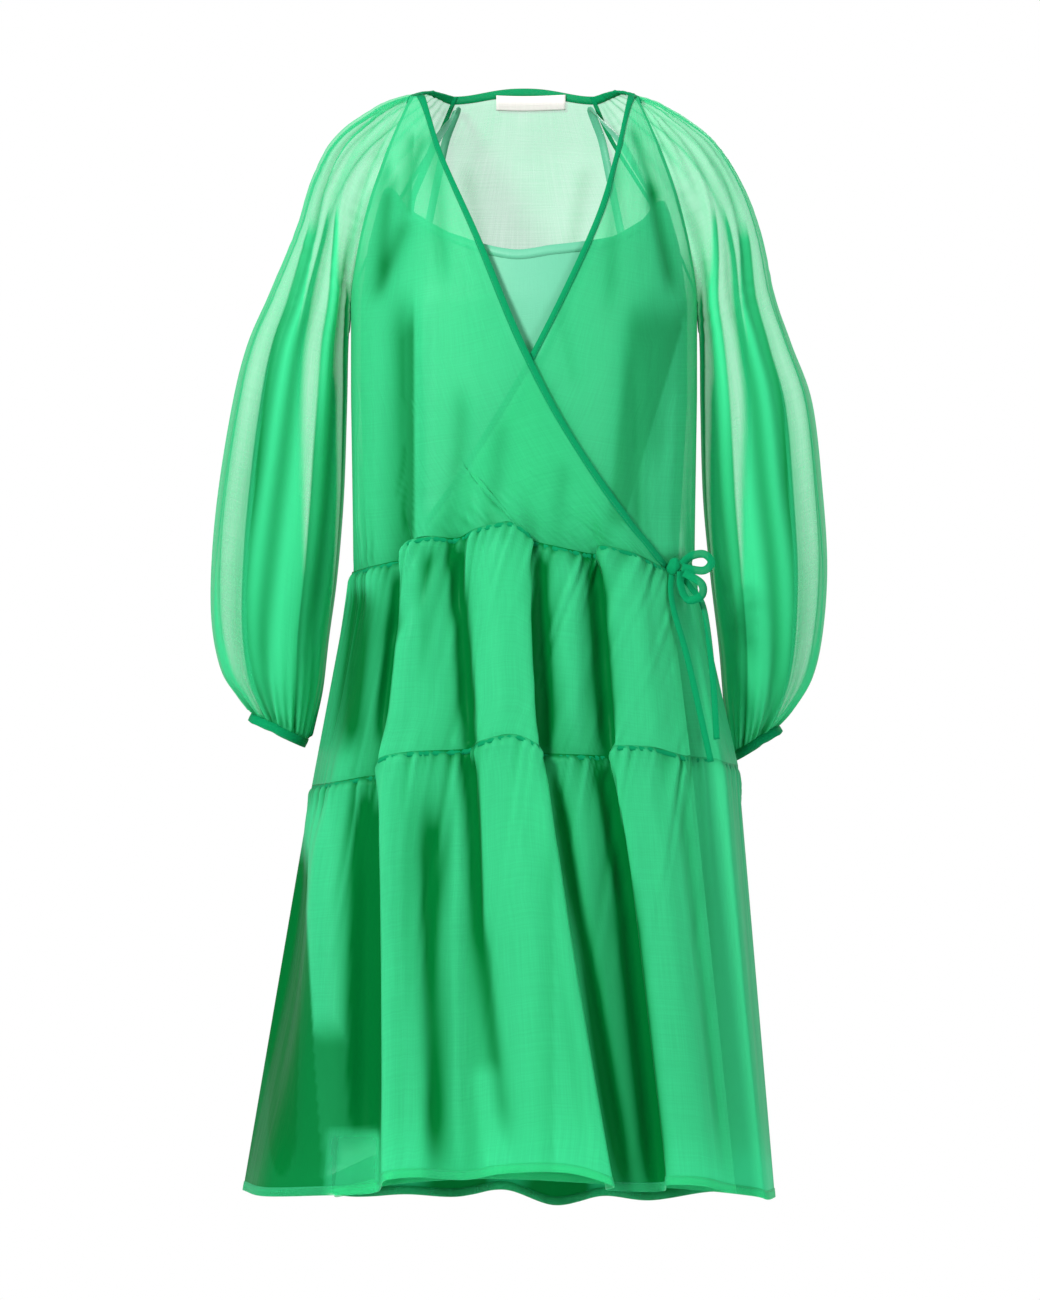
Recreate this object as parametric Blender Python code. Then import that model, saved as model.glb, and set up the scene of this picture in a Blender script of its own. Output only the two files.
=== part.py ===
"""Tiered wrap midi dress of sheer organza over a slip, filled out and hollow.

Metres, +Z up. The front faces -Y, and left and right are the wearer's, so the right side is at -X.
The origin is the middle of the neck opening at shoulder height.
"""

import math

import bpy
import numpy as np

for old in list(bpy.data.objects):
    bpy.data.objects.remove(old, do_unlink=True)

SEAM_GAP = 0.0003
ORGANZA_WALL = 0.0012
SLIP_WALL = 0.0012
BINDING_WALL = 0.0015
BINDING_WIDTH = 0.008
MM = 0.001
SHARP_ANGLE = math.radians(50)
OVAL_POWER = 2.3


def table(columns, *rows):
    """A table as a dictionary of arrays, one for each named column."""
    return dict(zip(columns.split(), (np.array(values) for values in zip(*rows))))


def smooth_step(value):
    """0 below 0, 1 above 1, and a soft rise between."""
    value = np.clip(value, 0.0, 1.0)
    return value * value * (3.0 - 2.0 * value)


def curve_at(points, places):
    """A smooth curve through the points, read at places counted in points from the first."""
    points = np.asarray(points, float)
    places = np.asarray(places, float)
    start = np.clip(np.floor(places).astype(int), 0, len(points) - 2)
    along = (places - start)[:, None]
    padded = np.vstack([2 * points[0] - points[1], points, 2 * points[-1] - points[-2]])
    before, here, after, beyond = (padded[start + k] for k in range(4))
    return 0.5 * (
        2 * here
        + (after - before) * along
        + (2 * before - 5 * here + 4 * after - beyond) * along**2
        + (3 * here - before - 3 * after + beyond) * along**3
    )


def unit(vectors):
    return vectors / np.maximum(np.linalg.norm(vectors, axis=-1, keepdims=True), 1e-12)


# ---------------------------------------------------------------------------------------------
# Walls: a sheet of points becomes a closed solid of even thickness
# ---------------------------------------------------------------------------------------------


def material(name, colour, roughness):
    made = bpy.data.materials.new(name)
    made.use_nodes = True
    shader = made.node_tree.nodes["Principled BSDF"]
    shader.inputs["Base Color"].default_value = (*colour, 1.0)
    shader.inputs["Roughness"].default_value = roughness
    shader.inputs["Metallic"].default_value = 0.0
    return made


ORGANZA = material("silk_organza", (0.03, 0.52, 0.22), 0.45)
SLIP_SATIN = material("slip_satin", (0.18, 0.62, 0.40), 0.40)
LABEL_TAPE = material("label_tape", (0.86, 0.78, 0.78), 0.50)


def add_solid(name, points, faces, cloth):
    mesh = bpy.data.meshes.new(name)
    mesh.from_pydata([tuple(point) for point in points], [], faces)
    mesh.validate()
    mesh.shade_smooth()
    mesh.set_sharp_from_angle(angle=SHARP_ANGLE)
    mesh.materials.append(cloth)
    solid = bpy.data.objects.new(name, mesh)
    bpy.context.scene.collection.objects.link(solid)
    return solid


def wall(name, sheet, inward, cloth, thickness, first_closed_row=None):
    """Closes a grid of points into a wall that lies inward of it.

    From first_closed_row down, the last column is the first one again, so the sheet is a tube.
    """
    rows, columns = sheet.shape[:2]
    index = np.arange(rows * columns).reshape(rows, columns)
    if first_closed_row is not None:
        index[first_closed_row:, -1] = index[first_closed_row:, 0]
    outer = sheet.reshape(-1, 3)
    inner = outer + inward.reshape(-1, 3) * thickness
    skin = []
    for row in range(rows - 1):
        for column in range(columns - 1):
            here, right = index[row, column], index[row, column + 1]
            under, under_right = index[row + 1, column], index[row + 1, column + 1]
            one_way = np.linalg.norm(outer[here] - outer[under_right])
            other_way = np.linalg.norm(outer[under] - outer[right])
            if one_way < other_way:
                skin += [(here, under, under_right), (here, under_right, right)]
            else:
                skin += [(here, under, right), (under, under_right, right)]
    used, renumbered = np.unique(np.array(skin), return_inverse=True)
    skin = [tuple(face) for face in renumbered.reshape(-1, 3).tolist()]
    outer, inner = outer[used], inner[used]
    count = len(used)
    edges = {pair for a, b, c in skin for pair in ((a, b), (b, c), (c, a))}
    faces = skin + [(c + count, b + count, a + count) for a, b, c in skin]
    for start, end in sorted(edges):
        if (end, start) not in edges:
            faces.append((end, start, start + count))
            faces.append((end, start + count, end + count))
    points = np.vstack([outer, inner])
    corners = points[np.array(faces)] - points.mean(axis=0)
    volume = np.einsum("ij,ij->", corners[:, 0], np.cross(corners[:, 1], corners[:, 2]))
    if volume < 0:
        faces = [face[::-1] for face in faces]
    return add_solid(name, points, faces, cloth)


def level_inward(sheet, turn):
    """Level directions square to each row of a sheet; turn is 1 or -1 for the side that is inside."""
    along = np.gradient(sheet, axis=1)
    square = np.stack([-along[..., 1], along[..., 0], np.zeros(along.shape[:2])], axis=-1)
    return unit(square * turn)


def sheet_inward(sheet, turn):
    """Directions square to the sheet itself."""
    across = np.gradient(sheet, axis=1)
    down = np.gradient(sheet, axis=0)
    return unit(np.cross(across, down) * turn)


# ---------------------------------------------------------------------------------------------
# The general figure that the bodice is cut for: an oval at each level
# ---------------------------------------------------------------------------------------------

UNDERARM_LEVEL = -0.205
FORM = table(
    "level half_width front_depth back_depth",
    (-0.480, 0.1700, 0.138, 0.125),
    (-0.300, 0.1730, 0.134, 0.121),
    (-0.205, 0.1730, 0.126, 0.120),
    (-0.150, 0.1710, 0.115, 0.119),
    (-0.100, 0.1650, 0.095, 0.113),
    (-0.050, 0.1500, 0.062, 0.100),
    (0.000, 0.1200, 0.020, 0.075),
    (0.020, 0.1150, 0.010, 0.073),
)


def form_half_width(level):
    return np.interp(level, FORM["level"], FORM["half_width"])


def form_turn(x, level):
    """The angle on the form, from -90 degrees at the right side to 90 at the left side."""
    share = np.clip(x / form_half_width(level), -1.0, 1.0)
    return np.arcsin(np.sign(share) * np.abs(share) ** (OVAL_POWER / 2))


def form_point(turn, level, side, inset=0.0):
    """A point of the form. side is -1 at the front and 1 at the back."""
    depths = FORM["front_depth"] if side < 0 else FORM["back_depth"]
    half_width = form_half_width(level)
    depth = np.interp(level, FORM["level"], depths) - inset
    x = half_width * np.sign(turn) * np.abs(np.sin(turn)) ** (2 / OVAL_POWER)
    y = side * depth * np.abs(np.cos(turn)) ** (2 / OVAL_POWER)
    return np.stack([x, y, level + 0.0 * turn], axis=-1)


# ---------------------------------------------------------------------------------------------
# The skirt's rings: three levels, each an oval with folds laid on it
# ---------------------------------------------------------------------------------------------

RINGS = table(
    "ring right_x left_x front_depth back_depth right_z front_z edge_z left_z back_z",
    ("waist", -0.172, 0.168, 0.138, 0.125, -0.475, -0.446, -0.470, -0.466, -0.490),
    ("seam", -0.212, 0.214, 0.155, 0.165, -0.688, -0.654, -0.656, -0.668, -0.705),
    ("hem", -0.281, 0.251, 0.170, 0.200, -1.093, -1.080, -1.084, -1.100, -1.126),
)
WAIST, SEAM, HEM = range(3)
# The share of the left width where the front's hanging edge is, at the level edge_z.
EDGE_SHARE = 0.8

# Where each fold of the front that laps over stands at the three rings, and how far it stands out
# of the oval, in millimetres. A fold whose x runs back under the one before it laps over it.
OVER_FOLDS = table(
    "fold x_waist x_seam x_hem out_waist out_seam out_hem rise",
    ("side seam", -172, -212, -281, 0, 0, 0, 0),
    ("side face", -152, -190, -257, 1, 4, 8, 1),
    ("side hollow", -130, -160, -204, -2, -5, -8, 2),
    ("first tuck", -114, -137, -147, -9, -13, -22, 3),
    ("first fold", -117, -142, -135, 9, 13, 18, 18),
    ("first face", -92, -112, -103, 8, 10, 12, 20),
    ("first hollow", -66, -58, -58, -5, -9, -8, 14),
    ("second rise", -46, -41, -18, 5, 11, 8, 20),
    ("second face", -15, -10, 42, 8, 14, 17, 21),
    ("second fold", 4, 14, 86, 7, 13, 20, 9),
    ("second tuck", 9, 12, 80, -6, -12, -18, 2),
    ("recess", 36, 45, 106, -2, -7, -22, 0),
    ("third tuck", 70, 86, 134, -9, -12, -20, 0),
    ("third fold", 74, 88, 137, 3, 11, 16, 9),
    ("third face", 106, 125, 172, 6, 11, 18, 8),
    ("bound edge", 134, 155, 200, 5, 8, 12, 0),
    ("free edge", 141, 163, 208, 4, 7, 11, 0),
)
UNDER_FOLDS = table(
    "fold x_waist x_seam x_hem out_waist out_seam out_hem rise",
    ("side seam", 168, 214, 251, 0, 0, 0, 0),
    ("side face", 160, 199, 241, 0, 2, 5, 0),
    ("turn under", 148, 182, 226, -7, -8, -8, 0),
    ("third hollow", 105, 124, 168, -17, -20, -29, 0),
    ("recess", 42, 50, 84, -17, -21, -31, 6),
    ("middle", -25, -30, -30, -17, -21, -30, 12),
    ("first hollow", -95, -112, -125, -19, -29, -32, 10),
    ("bound edge", -126, -150, -178, -18, -28, -24, 0),
    ("free edge", -134, -158, -186, -17, -22, -22, 0),
)
BACK_FOLDS = table(
    "fold x_waist x_seam x_hem out_waist out_seam out_hem rise",
    ("right side seam", -172, -212, -281, 0, 0, 0, 0),
    ("right side face", -164, -202, -267, 1, 2, 3, 0),
    ("first fold", -146, -178, -228, 3, 6, 10, 2),
    ("first hollow", -116, -140, -178, -4, -8, -13, 0),
    ("second fold", -84, -102, -122, 5, 10, 14, 5),
    ("second hollow", -48, -56, -70, -5, -9, -13, 8),
    ("third fold", -12, -14, -20, 6, 11, 15, 14),
    ("third hollow", 26, 30, 32, -5, -9, -14, 0),
    ("fourth fold", 62, 74, 82, 5, 10, 14, 5),
    ("fourth hollow", 96, 115, 130, -4, -8, -13, 0),
    ("fifth fold", 132, 162, 190, 4, 7, 11, 2),
    ("left side face", 158, 200, 236, 1, 2, 3, 0),
    ("left side seam", 168, 214, 251, 0, 0, 0, 0),
)
COLUMNS_PER_WAVE = 2
OVER_WAVE_PITCH = 0.018
UNDER_WAVE_PITCH = 0.040
BACK_WAVE_PITCH = 0.026


def ring_points(folds, ring, side):
    """The fold points of one ring: on its oval, moved out by each fold's own amount."""
    suffix = str(RINGS["ring"][ring])
    x = folds["x_" + suffix] * MM
    out = folds["out_" + suffix] * MM
    right, left = RINGS["right_x"][ring], RINGS["left_x"][ring]
    depths = RINGS["front_depth"] if side < 0 else RINGS["back_depth"]
    share = np.clip((x - (right + left) / 2) / ((left - right) / 2), -1.0, 1.0)
    fullness = (1 - np.abs(share) ** OVAL_POWER) ** (1 / OVAL_POWER)
    y = side * (depths[ring] * fullness + out)
    y[np.abs(share) >= 1.0] = 0.0
    if side < 0:
        levels = [RINGS[name][ring] for name in ("right_z", "front_z", "edge_z", "left_z")]
        z = np.interp(x, [right, 0.0, EDGE_SHARE * left, left], levels)
    else:
        middle = RINGS["back_z"][ring]
        ends = np.where(share < 0, RINGS["right_z"][ring], RINGS["left_z"][ring])
        z = middle + (ends - middle) * share**2
    return np.stack([x, y, z + folds["rise"] * MM], axis=-1)


def wave_places(folds, side, wave_pitch):
    """Places of the columns along a panel: two for each gather wave at the middle seam."""
    points = ring_points(folds, SEAM, side)
    lengths = np.linalg.norm(np.diff(points, axis=0), axis=1)
    places = [0.0]
    for number, length in enumerate(lengths):
        steps = COLUMNS_PER_WAVE * max(1, round(length / wave_pitch))
        places += [number + (step + 1) / steps for step in range(steps)]
    return np.array(places)


def with_midpoints(points):
    """Adds the point halfway between each two, as a straight run of the smoother piece above has it."""
    full = np.repeat(points, 2, axis=0)[:-1]
    full[1::2] = (points[:-1] + points[1:]) / 2
    return full


def gap_over(points):
    """How far a seam's edge is drawn back at each point: half the gap, more where the seam is steep."""
    along = np.gradient(points, axis=0)
    level = np.maximum(np.hypot(along[:, 0], along[:, 1]), 1e-9)
    return SEAM_GAP / 2 * np.sqrt(1 + (along[:, 2] / level) ** 2)


# How high each gather wave stands below its seam, as a share of the spacing of the columns.
GATHERS = table(
    "below height",
    (0.000, 0.00),
    (0.010, 0.40),
    (0.045, 0.14),
)


def tier(name, folds, upper, lower, rows, side, wave_pitch):
    """One panel of a gathered tier, between two rings."""
    places = wave_places(folds, side, wave_pitch)
    top = curve_at(ring_points(folds, upper, side), places)
    bottom = curve_at(ring_points(folds, lower, side), places)
    turn = -side if folds["x_seam"][0] < folds["x_seam"][-1] else side
    if upper == WAIST:
        bodice_edge = top[::2].copy()
        bodice_edge[:, 2] -= gap_over(bodice_edge)
        top = with_midpoints(bodice_edge)
    else:
        top[:, 2] -= gap_over(top)
    if lower == SEAM:
        bottom[:, 2] += gap_over(bottom)
    drop = abs(bottom[:, 2].mean() - top[:, 2].mean())
    gather_rows = [below / drop for below in GATHERS["below"]]
    falls = np.array(gather_rows + list(np.linspace(gather_rows[-1], 1.0, rows + 1)[1:]))
    sheet = np.stack([top + (bottom - top) * fall for fall in falls])
    inward = level_inward(sheet, turn)
    if upper == WAIST:
        inward[0] = with_midpoints(level_inward(bodice_edge[None], turn)[0])
    spacing = np.linalg.norm(np.gradient(top, axis=0), axis=1)
    for row, height in enumerate(GATHERS["height"]):
        sheet[row, 1:-1:2] -= inward[row, 1:-1:2] * (height * spacing[1:-1:2])[:, None]
    seam_sides(sheet, inward, side)
    wall(name, sheet, inward, ORGANZA, ORGANZA_WALL)


def seam_sides(sheet, inward, side):
    """Draws a side seam's edge back by half the gap and faces its wall straight in."""
    for column in (0, -1):
        at_side = np.abs(sheet[:, column, 1]) < 1e-6
        sheet[at_side, column, 1] += side * SEAM_GAP / 2
        inward[at_side, column] = [-np.sign(sheet[0, column, 0]), 0.0, 0.0]


for piece, folds, side, waist_rows, hem_rows, wave_pitch in (
    ("front_over", OVER_FOLDS, -1, 2, 4, OVER_WAVE_PITCH),
    ("front_under", UNDER_FOLDS, -1, 2, 3, UNDER_WAVE_PITCH),
    ("back", BACK_FOLDS, 1, 2, 3, BACK_WAVE_PITCH),
):
    tier("waist_tier_" + piece, folds, WAIST, SEAM, waist_rows, side, wave_pitch)
    tier("hem_tier_" + piece, folds, SEAM, HEM, hem_rows, side, wave_pitch)


# ---------------------------------------------------------------------------------------------
# The bodice: three panels cut to raglan seams, the fronts to a slanting wrap edge
# ---------------------------------------------------------------------------------------------

RAGLAN = table(
    "front_x front_z back_x back_z",
    (0.1140, 0.000, 0.0710, 0.006),
    (0.1170, -0.008, 0.0750, -0.003),
    (0.1280, -0.034, 0.0900, -0.035),
    (0.1445, -0.077, 0.1180, -0.080),
    (0.1575, -0.120, 0.1450, -0.125),
    (0.1670, -0.163, 0.1640, -0.168),
    (0.1730, -0.205, 0.1730, -0.205),
)
# The finished wrap edges, from the neck point to the waist. The binding is part of this width.
WRAP_EDGES = table(
    "over_x over_z under_x under_z",
    (-0.0990, 0.000, 0.1040, 0.000),
    (-0.0800, -0.063, 0.0880, -0.070),
    (-0.0430, -0.148, 0.0660, -0.138),
    (-0.0040, -0.243, 0.0130, -0.250),
    (0.0360, -0.323, -0.0360, -0.335),
    (0.0850, -0.398, -0.0860, -0.410),
)
BODICE_SIDE_ROWS = 4
# The front that lies under is set back by this much, from just below the neck point down and from
# a share of the way across.
UNDER_INSET = 0.0055
INSET_START = -0.08
INSET_FALL = 0.08
INSET_SHARE = 0.2
# How evenly the columns are spread, and the most of a row that the binding may take.
EVEN_SHARE = 0.15
MOST_BOUND_SHARE = 0.6
# The level where the skirt's folds start to show in the bodice.
FOLDS_START = -0.24


def raglan_points(which, wearer_side):
    """The points of a raglan seam. wearer_side is -1 on the right and 1 on the left."""
    side = -1 if which == "front" else 1
    x = wearer_side * RAGLAN[which + "_x"]
    z = RAGLAN[which + "_z"]
    return form_point(form_turn(x, z), z, side)


def hang_folds(sheet, waist):
    """Brings the last row to the waist ring, and fades the ring's folds out above it."""
    depth = (FOLDS_START - sheet[..., 2]) / (FOLDS_START - waist[:, 2])
    sheet += (waist - sheet[-1]) * smooth_step(depth)[..., None] ** 2
    sheet[-1] = waist


def bodice_front(folds, wave_pitch, wearer_side, edge_x, edge_z, inset):
    """A wrapped front. Its first column is the raglan and side seam, its last the wrap edge."""
    places = wave_places(folds, -1, wave_pitch)[::2]
    waist = curve_at(ring_points(folds, WAIST, -1), places)
    side_levels = np.linspace(UNDERARM_LEVEL, waist[0, 2], BODICE_SIDE_ROWS + 1)[1:]
    outer_z = np.concatenate([RAGLAN["front_z"], side_levels])
    outer_x = np.concatenate([RAGLAN["front_x"], form_half_width(side_levels)]) * wearer_side
    rows = len(outer_z)
    finish = np.array([waist[-1, 0], waist[-1, 2]])
    edge = np.vstack([np.stack([edge_x, edge_z], axis=-1), finish])
    edge = curve_at(edge, np.linspace(0, len(edge) - 1, rows))
    turns = form_turn(waist[:, 0], waist[0, 2])
    share = np.maximum.accumulate((turns - turns[0]) / (turns[-1] - turns[0]))
    share = (1 - EVEN_SHARE) * share + EVEN_SHARE * np.linspace(0, 1, len(share))
    sheet = []
    for row in range(rows):
        ends = form_turn(outer_x[row], outer_z[row]), form_turn(edge[row, 0], edge[row, 1])
        length = np.linalg.norm(
            form_point(ends[0], outer_z[row], -1) - form_point(ends[1], edge[row, 1], -1)
        )
        bound = 1 - min(BINDING_WIDTH / length, MOST_BOUND_SHARE)
        row_share = np.append(share[:-1] / share[-2] * bound, 1.0)
        turn = ends[0] + (ends[1] - ends[0]) * row_share
        level = outer_z[row] + (edge[row, 1] - outer_z[row]) * row_share
        sheet.append(form_point(turn, level, -1))
    sheet = np.stack(sheet)
    from_seam = smooth_step(share / INSET_SHARE)
    sheet[..., 1] += inset * from_seam * smooth_step((INSET_START - sheet[..., 2]) / INSET_FALL)
    hang_folds(sheet, waist)
    sheet[-1, :, 2] += gap_over(waist)
    turn = 1 if folds["x_seam"][0] < folds["x_seam"][-1] else -1
    inward = sheet_inward(sheet, turn)
    inward[-1] = level_inward(sheet, turn)[-1]
    seam_sides(sheet, inward, -1)
    return sheet, inward


over_sheet, over_inward = bodice_front(
    OVER_FOLDS, OVER_WAVE_PITCH, -1, WRAP_EDGES["over_x"], WRAP_EDGES["over_z"], 0.0
)
under_sheet, under_inward = bodice_front(
    UNDER_FOLDS, UNDER_WAVE_PITCH, 1, WRAP_EDGES["under_x"], WRAP_EDGES["under_z"], UNDER_INSET
)


# How far the back neck edge rises in its middle, and the rows over which that fades.
NECK_RISE = 0.009
NECK_RISE_ROWS = 4


def bodice_back():
    """The back, between the two back raglan seams and the side seams. Its first row is the neck edge."""
    places = wave_places(BACK_FOLDS, 1, BACK_WAVE_PITCH)[::2]
    waist = curve_at(ring_points(BACK_FOLDS, WAIST, 1), places)
    side_share = np.linspace(0, 1, BODICE_SIDE_ROWS + 1)[1:]
    turns = form_turn(waist[:, 0], waist[0, 2])
    share = (turns - turns[0]) / (turns[-1] - turns[0])
    sheet = []
    for row in range(len(RAGLAN["back_x"]) + BODICE_SIDE_ROWS):
        below = row - len(RAGLAN["back_x"])
        if below < 0:
            half, level = RAGLAN["back_x"][row], RAGLAN["back_z"][row]
            right_level, left_level = level, level
        else:
            right_level = UNDERARM_LEVEL + (waist[0, 2] - UNDERARM_LEVEL) * side_share[below]
            left_level = UNDERARM_LEVEL + (waist[-1, 2] - UNDERARM_LEVEL) * side_share[below]
            half = form_half_width(right_level)
        turn = form_turn(half, right_level) * (2 * share - 1)
        middle_rise = NECK_RISE * max(0.0, 1 - row / NECK_RISE_ROWS) * np.cos(np.pi * (share - 0.5)) ** 2
        level = right_level + (left_level - right_level) * share + middle_rise
        sheet.append(form_point(turn, level, 1))
    sheet = np.stack(sheet)
    hang_folds(sheet, waist)
    sheet[-1, :, 2] += gap_over(waist)
    inward = sheet_inward(sheet, -1)
    inward[-1] = level_inward(sheet, -1)[-1]
    seam_sides(sheet, inward, 1)
    return sheet, inward


back_sheet, back_inward = bodice_back()


# ---------------------------------------------------------------------------------------------
# The sleeves: a gathered raglan head that joins into a full tube at the underarm
# ---------------------------------------------------------------------------------------------

SLEEVE_COLUMNS = 28
SLEEVE_WAVES = 7
MIDDLE_COLUMN = SLEEVE_COLUMNS // 2
QUARTER_COLUMN = SLEEVE_COLUMNS // 4
# The head's rows follow the raglan seam's six points. The tip is the top of the shoulder there.
SLEEVE_HEAD = table(
    "right_tip_x left_tip_x tip_y tip_z fullness roundness gather",
    (-0.0940, 0.0940, 0.028, 0.008, 0.000, 1.0, 0.0),
    (-0.1060, 0.1040, 0.026, 0.005, 0.000, 1.0, 0.0),
    (-0.1420, 0.1390, 0.018, -0.008, 0.002, 1.0, 1.0),
    (-0.1870, 0.1860, 0.016, -0.040, 0.006, 1.0, 1.0),
    (-0.2120, 0.2170, 0.016, -0.082, 0.014, 1.1, 0.7),
    (-0.2300, 0.2380, 0.016, -0.135, 0.027, 1.5, 0.4),
    (-0.2570, 0.2520, 0.016, -0.198, 0.046, 2.0, 0.2),
)
RIGHT_SLEEVE = table(
    "in_x in_z out_x out_z middle_y half_depth wave",
    (-0.1760, -0.250, -0.2780, -0.247, 0.016, 0.058, 0.3),
    (-0.1775, -0.310, -0.2930, -0.305, 0.022, 0.066, 0.6),
    (-0.1810, -0.400, -0.3080, -0.395, 0.032, 0.073, 1.0),
    (-0.1880, -0.480, -0.3150, -0.470, 0.042, 0.078, 1.0),
    (-0.1965, -0.540, -0.3145, -0.528, 0.050, 0.076, 1.0),
    (-0.2030, -0.590, -0.3050, -0.573, 0.055, 0.068, 1.0),
    (-0.2110, -0.622, -0.2890, -0.598, 0.058, 0.050, 1.0),
    (-0.2180, -0.643, -0.2740, -0.616, 0.060, 0.031, 0.0),
)
LEFT_SLEEVE = table(
    "in_x in_z out_x out_z middle_y half_depth wave",
    (0.1760, -0.250, 0.2690, -0.247, 0.016, 0.058, 0.3),
    (0.1770, -0.310, 0.2900, -0.305, 0.024, 0.066, 0.6),
    (0.1800, -0.400, 0.3010, -0.395, 0.036, 0.073, 1.0),
    (0.1880, -0.480, 0.3060, -0.470, 0.050, 0.078, 1.0),
    (0.1970, -0.550, 0.3020, -0.535, 0.064, 0.076, 1.0),
    (0.2020, -0.600, 0.2920, -0.580, 0.074, 0.068, 1.0),
    (0.2070, -0.635, 0.2740, -0.610, 0.080, 0.050, 1.0),
    (0.2110, -0.657, 0.2570, -0.628, 0.084, 0.031, 0.0),
)
# The loop's shape, the height of the long folds, and of the gathers at the cuff and the head: there
# it is a share of the columns' spacing.
TUBE_ROUNDNESS = 2.0
SLEEVE_WAVE_HEIGHT = 0.0045
CUFF_GATHER_HEIGHT = 0.0025
HEAD_GATHER_SHARE = 0.22
# How many seam gaps the sleeve stands behind the front at the neck point.
NECK_SPREAD = 3.0
CUFF_DEPTH = 0.009


def sleeve_row(first, last, tip, fullness, roundness):
    """An arc from one point over the tip to another, or a loop where the two points are one."""
    share = np.linspace(0, 1, SLEEVE_COLUMNS + 1)[:, None]
    chord = first + (last - first) * share
    rise = (tip - (first + last) / 2) * np.sin(np.pi * share) ** roundness
    forward = np.array([0.0, -fullness, 0.0]) * np.sin(2 * np.pi * share)
    return chord + rise + forward


def sleeve(side_name, wearer_side, tube):
    front = raglan_points("front", wearer_side)
    back = raglan_points("back", wearer_side)
    tips = np.stack([SLEEVE_HEAD[key] for key in (side_name + "_tip_x", "tip_y", "tip_z")], axis=-1)
    for seam in (front, back):
        away = unit(tips - seam)
        away[-1] = [wearer_side, 0.0, 0.0]
        if seam is front:
            away[0] = [0.0, NECK_SPREAD, 0.0]
        seam += away * SEAM_GAP
    rows = []
    for row, tip in enumerate(tips):
        shape = SLEEVE_HEAD["fullness"][row], SLEEVE_HEAD["roundness"][row]
        rows.append(sleeve_row(front[row], back[row], tip, *shape))
    for row in range(len(tube["in_x"])):
        inner = np.array([tube["in_x"][row], tube["middle_y"][row], tube["in_z"][row]])
        outer = np.array([tube["out_x"][row], tube["middle_y"][row], tube["out_z"][row]])
        rows.append(sleeve_row(inner, inner, outer, tube["half_depth"][row], TUBE_ROUNDNESS))
    sheet = np.stack(rows)
    first_closed_row = len(front) - 1
    inward = sheet_inward(sheet, wearer_side)
    tube_along = np.roll(sheet[:, :-1], -1, axis=1) - np.roll(sheet[:, :-1], 1, axis=1)
    tube_down = np.gradient(sheet[:, :-1], axis=0)
    round_inward = unit(np.cross(tube_along, tube_down) * wearer_side)
    inward[first_closed_row:, :-1] = round_inward[first_closed_row:]
    inward[first_closed_row:, -1] = inward[first_closed_row:, 0]
    share = np.linspace(0, 1, SLEEVE_COLUMNS + 1)
    soft = np.cos(2 * np.pi * SLEEVE_WAVES * share) * SLEEVE_WAVE_HEIGHT
    pinched = np.where(np.arange(SLEEVE_COLUMNS + 1) % 2, 1.0, -1.0)
    waved = sheet.copy()
    for row in range(len(front)):
        spacing = np.linalg.norm(sheet[row, MIDDLE_COLUMN] - sheet[row, MIDDLE_COLUMN - 1])
        most = HEAD_GATHER_SHARE * spacing * SLEEVE_HEAD["gather"][row]
        height = most * pinched * np.sin(np.pi * share)
        waved[row] -= inward[row] * height[:, None]
    for row, wave in enumerate(tube["wave"], start=len(front)):
        waved[row] -= inward[row] * (soft * wave)[:, None]
    gathered = len(sheet) - 2
    waved[gathered] -= inward[gathered] * (CUFF_GATHER_HEIGHT * pinched)[:, None]
    waved[first_closed_row:, -1] = waved[first_closed_row:, 0]
    inward[-1] = unit(waved[-1, :-1].mean(axis=0) - waved[-1])
    return waved, inward


def cuff(name, sleeve_sheet):
    """A bound band below the sleeve's last row, square to the sleeve's end."""
    last = sleeve_sheet[-1]
    centre = last[:-1].mean(axis=0)
    down = np.cross(last[QUARTER_COLUMN] - centre, last[0] - centre)
    down = unit(down * -np.sign(down[2]))
    band = np.stack([last + down * SEAM_GAP, last + down * CUFF_DEPTH])
    inward = unit(centre - last)
    wall(name, band, np.stack([inward, inward]), ORGANZA, BINDING_WALL, 0)


right_sheet, right_inward = sleeve("right", -1, RIGHT_SLEEVE)
left_sheet, left_inward = sleeve("left", 1, LEFT_SLEEVE)


def mitre(rows, one, one_column, other, other_column):
    """Gives two walls that meet at a seam the same inward direction there."""
    shared = unit(one[:rows, one_column] + other[:rows, other_column])
    one[:rows, one_column] = shared
    other[:rows, other_column] = shared


MITRED_ROWS = 5
UNDERARM_ROW = len(RAGLAN["front_x"]) - 1
mitre(MITRED_ROWS, over_inward, 0, right_inward, 0)
mitre(MITRED_ROWS, under_inward, 0, left_inward, 0)
mitre(MITRED_ROWS, back_inward, 0, right_inward, -1)
mitre(MITRED_ROWS, back_inward, -1, left_inward, -1)
wall("bodice_front_over", over_sheet, over_inward, ORGANZA, ORGANZA_WALL)
wall("bodice_front_under", under_sheet, under_inward, ORGANZA, ORGANZA_WALL)
wall("bodice_back", back_sheet, back_inward, ORGANZA, ORGANZA_WALL)
wall("sleeve_right", right_sheet, right_inward, ORGANZA, ORGANZA_WALL, UNDERARM_ROW)
wall("sleeve_left", left_sheet, left_inward, ORGANZA, ORGANZA_WALL, UNDERARM_ROW)
cuff("cuff_right", right_sheet)
cuff("cuff_left", left_sheet)


# ---------------------------------------------------------------------------------------------
# The neck binding: narrow strips that lie on the edges, made from their points
# ---------------------------------------------------------------------------------------------

NECK_BINDING_WALL = 0.0010


def laid_strip(name, edge, beside, inward, cloth, thickness):
    """A strip between two lines of a panel's points, laid on the side of the cloth that shows."""
    strip = np.stack([edge, beside]) - inward * (SEAM_GAP + thickness)
    wall(name, strip, inward, cloth, thickness)


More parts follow.
